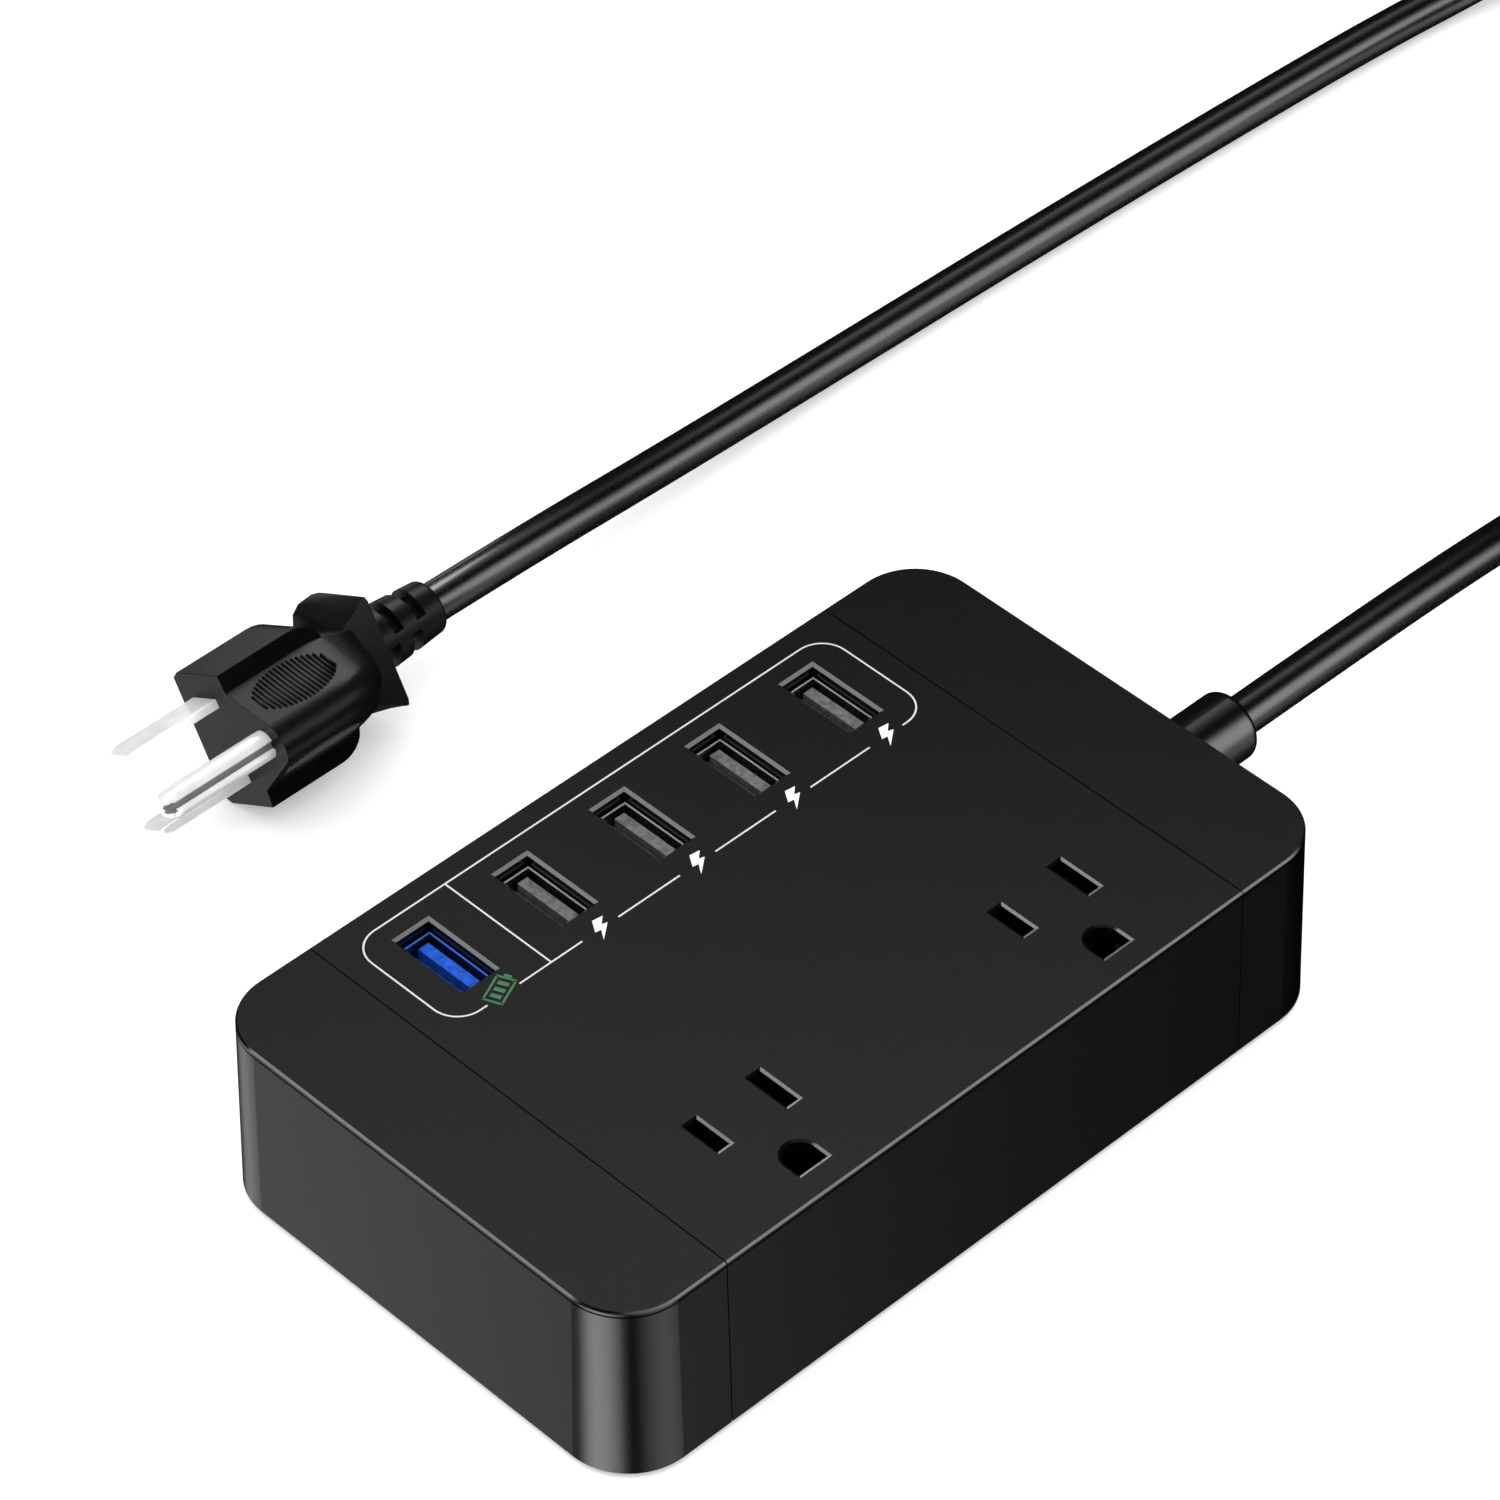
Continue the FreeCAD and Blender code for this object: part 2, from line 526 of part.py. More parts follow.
# ---------------------------------------------------------------- USB ports
def usb_ports():
    half_length, half_width = "shell_length / 2", "shell_width / 2"
    contacts = []
    for number, x in enumerate(PORTS, start=1):
        outside = box("shell_outside", f"{x} - {half_width}", f"{x} + {half_width}",
                      f"port_line - {half_length}", f"port_line + {half_length}", "usb_board_top", SHELL_TOP)
        hollow = box("shell_hollow", f"{x} - {half_width} + shell_sheet", f"{x} + {half_width} - shell_sheet",
                     f"port_line - {half_length} + shell_sheet", f"port_line + {half_length} - shell_sheet",
                     "usb_board_top", f"{SHELL_TOP} + 1")
        sub_part(f"usb_shell_{number}", cut(f"usb_shell_{number}", outside, hollow))
        foot = box("tongue_foot", f"{x} - {half_width} + shell_sheet", f"{x} + {half_width} - shell_sheet",
                   f"port_line - {half_length} + shell_sheet", f"port_line + {half_length} - shell_sheet",
                   "usb_board_top", "usb_board_top + tongue_root")
        blade = box("tongue_blade", f"{x} + tongue_offset - tongue_width / 2",
                    f"{x} + tongue_offset + tongue_width / 2", "port_line - tongue_length / 2",
                    "port_line + tongue_length / 2", "usb_board_top", f"{TOP} - tongue_drop")
        sub_part(f"usb_tongue_{number}", fuse(f"usb_tongue_{number}", [foot, blade]))
        face = f"{x} + tongue_offset - tongue_width / 2"
        for step in (-1.5, -0.5, 0.5, 1.5):
            strip = f"port_line + {step} * contact_pitch"
            contacts.append(box("usb_contact", f"{face} - contact_thick", face, f"{strip} - contact_width / 2",
                                f"{strip} + contact_width / 2", "usb_board_top + tongue_root",
                                f"{TOP} - tongue_drop - contact_inset"))
    sub_part("usb_contacts", group("usb_contacts", contacts))


def usb_board():
    board = box("usb_board_blank", "-usb_board_length / 2", "usb_board_length / 2", "usb_board_low",
                "usb_board_high", "usb_board_top - board_thick", "usb_board_top")
    holes = [cylinder("usb_board_hole", "small_screw", x, y, "0", "usb_board_top + 1") for x, y in USB_LEGS]
    sub_part("usb_board", cut("usb_board", board, *holes))
    pan_head_screws("usb_board_screws", "small_screw", USB_LEGS, "usb_board_top - usb_screw_reach", "usb_board_top")


# ---------------------------------------------------------------- charger board
def charger():
    """The mains-to-5-volt charger board and what stands on it."""
    top = "main_board_top"
    board = box("charger_blank", "main_board_left", "main_board_right", "main_board_front", "main_board_back",
                f"{top} - board_thick", top)
    holes = [cylinder("charger_hole", "small_screw", x, y, "0", f"{top} + 1") for x, y in MAIN_LEGS]
    sub_part("charger_board", cut("charger_board", board, *holes))
    pan_head_screws("charger_board_screws", "small_screw", MAIN_LEGS, f"{top} - main_screw_reach", top)
    inputs = [cylinder("input_capacitor", "input_radius", "input_x", y, top, f"{top} + input_height")
              for y in ("-3.4", "7.4")]
    sub_part("input_capacitors", group("input_capacitors", inputs))
    outputs = [cylinder("output_capacitor", "output_radius", "output_x", y, top, f"{top} + output_height")
               for y in ("-3.2", "7")]
    sub_part("output_capacitors", group("output_capacitors", outputs))
    choke = DOC.addObject("Part::Torus", "choke_ring")
    bind(choke, Radius1="choke_ring", Radius2="choke_wire")
    place(choke, "-27.6", "-3.6", f"{top} + choke_wire")
    sub_part("choke", choke)
    sub_part("bridge_rectifier", box("bridge", "bridge_left", "bridge_right", "bridge_front", "bridge_back", top,
                                     f"{top} + bridge_height"))
    plate = box("sink_plate", "sink_left", "sink_face", "sink_front", "sink_back", top, f"{top} + sink_height")
    fins = [box("sink_fin", "sink_face", "sink_right", y, f"{y} + fin_thick", top, f"{top} + sink_height")
            for y in ("sink_front", "(sink_front + sink_back - fin_thick) / 2", "sink_back - fin_thick")]
    sub_part("heat_sink", fuse("heat_sink", [plate] + fins))
    sub_part("switch_transistor", box("transistor", "sink_left - 2.4", "sink_left", "-3", "7", f"{top} + 3",
                                      f"{top} + 13"))
    outside = box("core_outside", "core_left", "core_right", "core_front", "core_back", top, f"{top} + core_height")
    inner = ("core_front + core_yoke", "core_back - core_yoke", f"{top} + core_yoke",
             f"{top} + core_height - core_yoke")
    window = box("core_window", "core_left - 1", "core_right + 1", *inner)
    sub_part("transformer_core", cut("transformer_core", outside, window))
    sub_part("transformer_winding", box("winding", "core_left + 0.5", "core_right - 0.5", *inner))
    sub_part("fuse", bar_along("fuse_tube", "Y", "fuse_radius", ("fuse_x", "-3.5", f"{top} + fuse_radius"),
                               "fuse_length"))


# ---------------------------------------------------------------- bent wires and cords
BEND_SHARE = 0.45


def rounded_path(name, points):
    """Straight runs joined by tangent arcs, each as large as its two runs allow. Returns the wire's object."""
    points = [V(*point) for point in points]
    edges = []
    radii = []
    start = points[0]
    for before, corner, after in zip(points, points[1:], points[2:]):
        back, ahead = (before - corner), (after - corner)
        shorter = min(back.Length, ahead.Length)
        back.normalize()
        ahead.normalize()
        half_turn = (math.pi - back.getAngle(ahead)) / 2
        reach = BEND_SHARE * shorter
        radii.append(reach / math.tan(half_turn))
        enter, leave = corner + back * reach, corner + ahead * reach
        inward = (back + ahead).normalize()
        to_centre = radii[-1] / math.cos(half_turn)
        middle = corner + inward * (to_centre - radii[-1])
        edges.append(Part.LineSegment(start, enter).toShape())
        edges.append(Part.Arc(enter, middle, leave).toShape())
        start = leave
    edges.append(Part.LineSegment(start, points[-1]).toShape())
    path = DOC.addObject("Part::Feature", name + "_path")
    path.Shape = Part.Wire(edges)
    print(name, "radii", [round(radius) for radius in radii], "length", round(path.Shape.Length, 1))
    return path


def tube(name, radius, points):
    """A round tube along a rounded path, checked against its section times its length."""
    path = rounded_path(name, points)
    direction = (V(*points[1]) - V(*points[0])).normalize()
    profile = DOC.addObject("Part::Circle", name + "_section")
    profile.Placement = FreeCAD.Placement(V(*points[0]), FreeCAD.Rotation(V(0, 0, 1), direction))
    bind(profile, Radius=radius)
    sweep = DOC.addObject("Part::Sweep", name)
    sweep.Sections = [profile]
    sweep.Spine = (path, [f"Edge{index}" for index in range(1, len(path.Shape.Edges) + 1)])
    sweep.Solid = True
    sweep.Frenet = False
    DOC.recompute()
    expected = math.pi * size(radius) ** 2 * path.Shape.Length
    if abs(sweep.Shape.Volume - expected) > 0.01 * expected:
        raise ValueError(f"{name}: volume {sweep.Shape.Volume:.0f}, expected {expected:.0f}")
    return sweep


def point(x, y, z):
    return size(x), size(y), size(z)


def wires():
    """The three mains wires from the cord's inner end to the brass strips, and the charger's leads."""
    start = "lead_start"
    routes = {
        "line": [point(start, "cord_line + 1.7", "cord_level - 0.9"), point("40", "-3.5", "14.5"),
                 point("27", "-8", "19"), point("20", "-15.8", "19"), point("20", "-16", "line_level + strip_thick")],
        "neutral": [point(start, "cord_line - 1.7", "cord_level - 0.9"), point("44.5", "-9", "15.5"),
                    point("39", "-17", "17"), point("38.8", "-22", "16"),
                    point("38.8", "-23", "neutral_level + strip_thick")],
        "ground": [point(start, "cord_line", "cord_level + 1.6"), point("47", "-14", "19"),
                   point("42", "-28", "19.5"), point("36", "-35.2", "18"),
                   point("36", "-35.3", "ground_level + strip_thick")],
    }
    for use, route in routes.items():
        whole = tube(use + "_whole_wire", "wire_radius", route)
        sub_part(use + "_wire", cut(use + "_wire", whole, PARTS["cord_inner_end"], PARTS[use + "_bus_bar"]))
    leads = [tube("charger_lead", "lead_radius", [
        point(x, "-15", "line_level + strip_thick"), point(x, "-14.8", "19"), point(x, "-7.4", "19"),
        point(x, "-7.2", "main_board_top")]) for x in ("-22", "-8")]
    sub_part("charger_leads", group("charger_leads", leads))
    supply = [tube("supply_lead", "lead_radius", [
        point(x, "12", "main_board_top"), point(x, "12.2", "20.5"), point(x, "18", "22"),
        point(x, "18.4", "usb_board_top")]) for x in ("9.3", "12")]
    sub_part("supply_leads", group("supply_leads", supply))


# ---------------------------------------------------------------- cord entry
def cord_entry():
    axis = ("0", "cord_line", "cord_level")
    gland = revolved("gland_form", [
        ("gland_inside", "0"), ("gland_inside", "flange_radius"), ("flange_outside", "flange_radius"),
        ("flange_outside", "gland_radius"), ("gland_reach", "gland_radius"), ("gland_reach", "0")])
    DOC.recompute()
    turned = gland.Tip
    end = size("gland_reach")
    rim = edges_at(turned.Shape, lambda b: b.XMin > end - 1e-6 and b.YLength > size("gland_radius"))
    rounded = gland.newObject("PartDesign::Fillet", "gland_round")
    rounded.Base = (turned, rim)
    bind(rounded, Radius="gland_edge")
    place(gland, *axis)
    sub_part("cord_gland", gland)
    inner = bar_along("inner_end", "X", "cord_radius", ("lead_start", "cord_line", "cord_level"),
                      "gland_inside - lead_start")
    sub_part("cord_inner_end", inner)
    bar = box("clamp_blank", "clamp_left", "clamp_right", "cord_line - clamp_half", "cord_line + clamp_half",
              "cord_level - clamp_lip", "clamp_top")
    cord_space = bar_along("clamp_bore", "X", "cord_radius", ("clamp_left - 1", "cord_line", "cord_level"), "9")
    below = box("clamp_below", "clamp_left - 1", "clamp_right + 1", "cord_line - cord_radius",
                "cord_line + cord_radius", "0", "cord_level")
    holes = [cylinder("clamp_hole", "clamp_screw", CLAMP_MIDDLE, y, "0", "clamp_top + 1") for y in CLAMP_SCREWS]
    sub_part("cord_clamp", cut("cord_clamp", bar, cord_space, below, *holes))
    pan_head_screws("cord_clamp_screws", "clamp_screw", [(CLAMP_MIDDLE, y) for y in CLAMP_SCREWS],
                    "cord_level - clamp_screw_reach", "clamp_top")


# ---------------------------------------------------------------- cord, coil and tie
CASE_RUN = [(91, -4.2, 14.5), (113, -4.1, 14.4), (146, -2.6, 11.8), (181, -0.4, 6.4),
            (216, 2.2, 3.5), (252, 4.2, 3.4), (281, 4.5, 3.4)]
PLUG_RUN = [(25, 102.0, 11.85), (45, 102.5, 11.1), (78, 105.7, 6.2), (115, 107.3, 3.5), (168, 106.5, 3.4),
            (213, 105.2, 3.4), (244, 103.9, 3.4), (266, 101.8, 3.5), (286, 95.0, 9.9), (303.5, 89.6, 10.0)]


def coil():
    """The outer shape of the coiled spare length: a ring with a soft-cornered section."""
    body = new_body("coil_form")
    sketch = new_sketch(body, "coil_section", "XZ_Plane")
    draw_outline(sketch, [("coil_inner", "coil_base + coil_round"), ("coil_inner + coil_round", "coil_base"),
                          ("coil_outer - coil_round", "coil_base"), ("coil_outer", "coil_base + coil_round"),
                          ("coil_outer", "coil_top - coil_round"), ("coil_outer - coil_round", "coil_top"),
                          ("coil_inner + coil_round", "coil_top"), ("coil_inner", "coil_top - coil_round")])
    ring = body.newObject("PartDesign::Revolution", "coil_turn")
    ring.Profile = sketch
    ring.ReferenceAxis = (sketch, ["V_Axis"])
    ring.Angle = FULL_TURN
    place(body, "coil_x", "coil_y", "0")
    return body


def cords():
    ring = coil()
    strap = box("tie_blank", "coil_x - coil_outer - tie_sheet", "coil_x - coil_inner + tie_sheet",
                "coil_y - tie_width / 2", "coil_y + tie_width / 2", "coil_base - tie_sheet",
                "coil_top + tie_sheet")
    sub_part("cord_coil", ring)
    sub_part("coil_tie", cut("coil_tie", strap, ring))
    for label, route, start in (("cord_case_run", CASE_RUN, "cord_gland"),
                                ("cord_plug_run", PLUG_RUN, "plug_strain_relief")):
        run = tube(label + "_whole", "cord_radius", route)
        sub_part(label, cut(label, run, ring, PARTS[start]))


# ---------------------------------------------------------------- plug
def plug():
    """A three-pin grounded plug lying rolled on its lower wing."""
    roll = FreeCAD.Rotation(V(1, 0, 0), size("plug_roll"))

    def in_plug_frame(thing):
        thing.Placement = FreeCAD.Placement(V(0, 0, 0), roll)
        bind(thing, Placement__Rotation__Angle="plug_roll")
        return place(thing, "plug_x", "plug_y", "plug_z")

    body = new_body("plug_form")
    wings = new_sketch(body, "wings", "YZ_Plane")
    draw_outline(wings, [("-wing_half + 1.4", "wing_low"), ("wing_half - 1.4", "wing_low"),
                         ("wing_half", "wing_low + 1.4"), ("wing_half - 0.4", "wing_high"),
                         ("-wing_half + 0.4", "wing_high"), ("-wing_half", "wing_low + 1.4")])
    pad(body, wings, "wing_length")
    block = new_sketch(body, "block", "YZ_Plane")
    draw_outline(block, [("-block_foot", "0"), ("block_foot", "0"), ("block_foot", "wing_high"),
                         ("block_head", "block_top - 1.6"), ("block_head - 1.6", "block_top"),
                         ("-block_head + 1.6", "block_top"), ("-block_head", "block_top - 1.6"),
                         ("-block_foot", "wing_high")])
    pad(body, block, "block_length")
    neck = new_sketch(body, "neck", "YZ_Plane")
    draw_circle(neck, "0", "0", "neck_radius")
    pad(body, neck, "plug_flange_end")
    flange = new_sketch(body, "flange", "YZ_Plane", "plug_flange_start")
    draw_outline(flange, [("-plug_flange_half", "plug_flange_low"), ("plug_flange_half", "plug_flange_low"),
                          ("plug_flange_half", "0"), ("block_head", "plug_flange_high"),
                          ("-block_head", "plug_flange_high"), ("-plug_flange_half", "0")])
    pad(body, flange, "plug_flange_end - plug_flange_start")
    in_plug_frame(body)

    metal = {}
    for label, side in (("plug_blade_line", "-1"), ("plug_blade_neutral", "1")):
        middle = f"{side} * blade_spacing / 2"
        blade_body = new_body(label + "_form")
        outline = new_sketch(blade_body, label + "_outline", "YZ_Plane", "-blade_reach")
        draw_rectangle(outline, f"{middle} - blade_thick / 2", f"{middle} + blade_thick / 2",
                       "blade_rise - blade_width / 2", "blade_rise + blade_width / 2")
        pad(blade_body, outline, "blade_reach + metal_inside")
        metal[label] = blade_body
    metal["plug_ground_pin"] = revolved("pin_form", [
        ("-pin_reach", "0"), ("-pin_reach + 0.5", "pin_radius - 1.0"), ("-pin_reach + 2", "pin_radius"),
        ("metal_inside", "pin_radius"), ("metal_inside", "0")], rise="pin_rise")
    for label, thing in metal.items():
        in_plug_frame(thing)
        sub_part(label, thing)
    sub_part("plug_body", cut("plug_body", body, *metal.values()))
    relief = revolved("relief_form", [("plug_flange_end", "0"), ("plug_flange_end", "relief_root"),
                                      ("relief_end", "relief_tip"), ("relief_end", "0")])
    in_plug_frame(relief)
    sub_part("plug_strain_relief", relief)


# ---------------------------------------------------------------- build, check and write
def build():
    casing()
    base_cover()
    rubber_feet()
    base_screws()
    contact_tray()
    bus_bars()
    usb_ports()
    usb_board()
    charger()
    cord_entry()
    wires()
    plug()
    cords()
    DOC.recompute()


def check():
    for thing in DOC.Objects:
        if "Invalid" in thing.State or "Error" in thing.State:
            raise ValueError(f"{thing.Name} ({thing.Label}) is {thing.State}")
    for label, thing in PARTS.items():
        shape = thing.Shape
        if shape.isNull() or not shape.isValid() or not shape.Solids:
            raise ValueError(f"{label} has no sound solid")


def write():
    os.makedirs("parts", exist_ok=True)
    for label, thing in PARTS.items():
        thing.Shape.exportStep(f"parts/{label}.step")
        print(f"{label:24s} solids {len(thing.Shape.Solids):3d} volume {thing.Shape.Volume:10.1f}")


build()
check()
write()
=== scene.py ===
"""Looks of the desk power strip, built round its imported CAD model.

Everything is in metres in the model's own frame: +X along the casing to its cord end, +Y towards the
USB row, +Z up. Lengths written with MM are millimetres.
"""
import json
import math

import bmesh
import bpy
from mathutils import Matrix, Quaternion, Vector


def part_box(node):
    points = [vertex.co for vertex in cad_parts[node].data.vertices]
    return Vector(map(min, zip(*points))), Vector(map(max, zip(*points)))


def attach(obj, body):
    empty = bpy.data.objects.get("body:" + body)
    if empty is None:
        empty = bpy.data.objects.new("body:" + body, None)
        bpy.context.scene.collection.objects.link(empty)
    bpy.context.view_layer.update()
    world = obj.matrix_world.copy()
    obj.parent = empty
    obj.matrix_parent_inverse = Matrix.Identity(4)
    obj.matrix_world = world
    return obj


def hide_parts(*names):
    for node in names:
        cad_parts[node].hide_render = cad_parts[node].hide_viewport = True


MM = 0.001
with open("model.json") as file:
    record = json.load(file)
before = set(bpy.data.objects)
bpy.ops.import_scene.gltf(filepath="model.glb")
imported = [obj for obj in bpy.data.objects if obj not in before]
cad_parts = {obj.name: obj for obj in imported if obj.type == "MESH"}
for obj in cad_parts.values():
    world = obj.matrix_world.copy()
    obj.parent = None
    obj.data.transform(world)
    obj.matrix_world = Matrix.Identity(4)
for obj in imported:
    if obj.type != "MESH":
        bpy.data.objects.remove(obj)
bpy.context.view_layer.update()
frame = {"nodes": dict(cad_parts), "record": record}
NODES = frame["nodes"]


# ---------------------------------------------------------------- places read from the frame
def middle(node):
    low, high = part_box(node)
    return (low + high) / 2


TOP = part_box("casing_middle")[1].z
PORTS = [middle(f"usb_shell_{number}") for number in range(1, 6)]
PLUG_AXIS = middle("plug_strain_relief")
PLUG_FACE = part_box("plug_body")[0].x


def plug_matrix():
    """The plug's own frame: X from its face to the cord, Y across the blades, Z to the ground pin."""
    to_pin = middle("plug_ground_pin") - PLUG_AXIS
    rise = Vector((0, to_pin.y, to_pin.z)).normalized()
    across = rise.cross(Vector((1, 0, 0)))
    turn = Matrix((Vector((1, 0, 0)), across, rise)).transposed().to_4x4()
    return Matrix.Translation((PLUG_FACE, PLUG_AXIS.y, PLUG_AXIS.z)) @ turn


# ---------------------------------------------------------------- camera
def camera():
    data = bpy.data.cameras.new("camera")
    data.lens = 169.2
    data.sensor_width = 36
    item = bpy.data.objects.new("camera", data)
    bpy.context.scene.collection.objects.link(item)
    bearing, height, lean, distance = 43.808, 42.91, -0.551, 1.070863
    target = Vector((45.371, 52.607, 1.0)) * MM
    flat = math.cos(math.radians(height))
    ahead = Vector((math.sin(math.radians(bearing)) * flat, math.cos(math.radians(bearing)) * flat,
                    -math.sin(math.radians(height))))
    item.location = target - ahead * distance
    item.rotation_mode = "QUATERNION"
    item.rotation_quaternion = ahead.to_track_quat("-Z", "Y") @ Quaternion((0, 0, 1), math.radians(lean))
    bpy.context.scene.camera = item


# ---------------------------------------------------------------- materials
def add_node(tree, kind, **settings):
    node = tree.nodes.new(kind)
    for name, value in settings.items():
        if hasattr(node, name):
            setattr(node, name, value)
        else:
            node.inputs[name.replace("_", " ")].default_value = value
    return node


def noise(tree, size, detail=2.0):
    """Noise with features of about the given size in metres, fixed to the object."""
    place = add_node(tree, "ShaderNodeTexCoord")
    texture = add_node(tree, "ShaderNodeTexNoise", Scale=1 / size, Detail=detail)
    tree.links.new(place.outputs["Object"], texture.inputs["Vector"])
    return texture.outputs["Fac"]


def spread(tree, source, low, high):
    """A noise value stretched to a range."""
    node = add_node(tree, "ShaderNodeMapRange")
    for name, value in (("From Min", 0.3), ("From Max", 0.7), ("To Min", low), ("To Max", high)):
        node.inputs[name].default_value = value
    tree.links.new(source, node.inputs["Value"])
    return node.outputs["Result"]


def finish(name, colour, roughness, shift=0.12, patch=4 * MM, rough_shift=0.05, grain=0.0,
           grain_size=0.25 * MM, brushed=None, **settings):
    """A material whose colour, roughness and fine relief vary over the surface."""
    material = bpy.data.materials.new(name)
    material.use_nodes = True
    tree = material.node_tree
    shader = tree.nodes["Principled BSDF"]
    for socket, value in settings.items():
        shader.inputs[socket.replace("_", " ")].default_value = value
    cloud = noise(tree, patch)
    mix = add_node(tree, "ShaderNodeMix", data_type="RGBA")
    mix.inputs["A"].default_value = (*[part * (1 - shift) for part in colour], 1)
    mix.inputs["B"].default_value = (*[min(1, part * (1 + shift)) for part in colour], 1)
    tree.links.new(spread(tree, cloud, 0, 1), mix.inputs["Factor"])
    tree.links.new(mix.outputs["Result"], shader.inputs["Base Color"])
    fine = noise(tree, grain_size, detail=3.0)
    low, high = roughness - rough_shift, roughness + rough_shift
    tree.links.new(spread(tree, fine, low, high), shader.inputs["Roughness"])
    if grain:
        bump = add_node(tree, "ShaderNodeBump", Strength=1.0, Distance=grain)
        tree.links.new(fine, bump.inputs["Height"])
        tree.links.new(bump.outputs["Normal"], shader.inputs["Normal"])
    if brushed:
        place = add_node(tree, "ShaderNodeTexCoord")
        stretch = add_node(tree, "ShaderNodeMapping")
        stretch.inputs["Scale"].default_value = brushed
        lines = add_node(tree, "ShaderNodeTexNoise", Scale=1 / (0.4 * MM), Detail=2.0)
        bump = add_node(tree, "ShaderNodeBump", Strength=0.6, Distance=8e-6)
        tree.links.new(place.outputs["Object"], stretch.inputs["Vector"])
        tree.links.new(stretch.outputs["Vector"], lines.inputs["Vector"])
        tree.links.new(lines.outputs["Fac"], bump.inputs["Height"])
        tree.links.new(bump.outputs["Normal"], shader.inputs["Normal"])
    return material


FINE_GRAIN = 0.35 * MM
CASING_BLACK = (0.002, 0.002, 0.0021)
CASING = finish("casing_plastic", CASING_BLACK, 0.18, rough_shift=0.03, grain=1.5e-6, grain_size=0.3 * MM,
                Specular_IOR_Level=0.3)
# A more strongly reflecting copy of the casing plastic for the top bevels: a painted highlight along the rim.
CASING_RIM_HIGHLIGHT = finish("casing_rim_highlight", CASING_BLACK, 0.18, rough_shift=0.03, Specular_IOR_Level=1.0)
# Light grey for the outlet slot bevels that face +Y: a painted highlight on one side of each slot.
SLOT_BEVEL_HIGHLIGHT = finish("slot_bevel_highlight", (0.14, 0.14, 0.142), 0.3)
RUBBER = finish("foot_rubber", (0.03, 0.03, 0.03), 0.75, grain=12e-6)
SCREW = finish("screw_zinc", (0.45, 0.45, 0.46), 0.35, Metallic=1.0)
INSULATOR = finish("tray_plastic", (0.03, 0.03, 0.031), 0.5, grain=6e-6)
BRASS = finish("contact_brass", (0.78, 0.58, 0.26), 0.3, Metallic=1.0)
BOARD = finish("circuit_board", (0.025, 0.16, 0.06), 0.4)
SLEEVE = finish("capacitor_sleeve", (0.03, 0.03, 0.06), 0.3)
COPPER = finish("copper_wire", (0.72, 0.33, 0.16), 0.3, Metallic=1.0, grain=20e-6)
COMPONENT = finish("moulded_epoxy", (0.03, 0.03, 0.03), 0.55, grain=8e-6)
ALUMINIUM = finish("mill_aluminium", (0.75, 0.76, 0.78), 0.35, Metallic=1.0, brushed=(0.1, 1, 1))
FERRITE = finish("ferrite", (0.06, 0.06, 0.065), 0.6, grain=10e-6)
TAPE = finish("winding_tape", (0.8, 0.58, 0.08), 0.35)
FUSE_GLASS = finish("fuse_glass", (0.9, 0.95, 0.95), 0.08, Transmission_Weight=0.6)
WIRE_BLACK = finish("wire_black", (0.02, 0.02, 0.02), 0.4)
WIRE_WHITE = finish("wire_white", (0.8, 0.8, 0.78), 0.4)
WIRE_GREEN = finish("wire_green", (0.04, 0.32, 0.1), 0.4)
WIRE_RED = finish("wire_red", (0.5, 0.03, 0.02), 0.4)
PORT_STEEL = finish("port_steel", (0.3, 0.3, 0.31), 0.3, Metallic=1.0, brushed=(1, 1, 0.1))
# Lighter, barely metallic tops for the USB shells' steel rims: painted highlights. The fast port's rim is
# blue, the colour of its liner, and bright as a painted highlight.
PORT_RIM_HIGHLIGHT = finish("port_rim_highlight", (0.4, 0.4, 0.41), 0.4, Metallic=0.2)
PORT_RIM_BLUE_HIGHLIGHT = finish("port_rim_blue_highlight", (0.03, 0.16, 0.75), 0.4)
TONGUE_PATCH = 0.9 * MM
TONGUE_GREY = finish("tongue_grey", (0.13, 0.13, 0.133), 0.5, grain=20e-6, grain_size=FINE_GRAIN, shift=0.35,
                     patch=TONGUE_PATCH)
TONGUE_BLUE = finish("tongue_blue", (0.009, 0.095, 0.6), 0.45, grain=16e-6, grain_size=FINE_GRAIN, shift=0.3,
                     patch=TONGUE_PATCH, Specular_IOR_Level=0.15)
CORD_BLACK = (0.001, 0.001, 0.001)
CORD = finish("cord_jacket", CORD_BLACK, 0.26, rough_shift=0.03, grain_size=0.5 * MM, Specular_IOR_Level=1.0)
GLAND = finish("gland_plastic", CORD_BLACK, 0.24, rough_shift=0.03, Specular_IOR_Level=1.0)
TIE = finish("tie_strap", (0.02, 0.02, 0.021), 0.85, grain=40e-6, grain_size=FINE_GRAIN, Sheen_Weight=0.25)
PLUG = finish("plug_vinyl", (0.004, 0.004, 0.0041), 0.32, grain=5e-6, grain_size=FINE_GRAIN,
              Specular_IOR_Level=0.14)
# Darker than the plug vinyl and without gloss: painted shade on the ledges along the wings.
PLUG_LEDGE_SHADE = finish("plug_ledge_shade", (0.003, 0.003, 0.003), 0.6, grain=5e-6, grain_size=FINE_GRAIN,
                    Specular_IOR_Level=0.0)
PRONG = finish("prong_nickel", (0.95, 0.95, 0.94), 0.22, Metallic=0.3, rough_shift=0.04, brushed=(0.08, 1, 1))
# Grey for the floor of the ground pin's seam: painted shade in the groove.
PRONG_SEAM_SHADE = finish("prong_seam_shade", (0.13, 0.13, 0.13), 0.5)
MARK_WHITE = finish("ink_white", (0.62, 0.62, 0.61), 0.5, shift=0.06)
MARK_BRIGHT = finish("ink_bright", (0.95, 0.95, 0.94), 0.5, shift=0.04)
MARK_GREEN = finish("ink_green", (0.02, 0.15, 0.055), 0.5, shift=0.1)

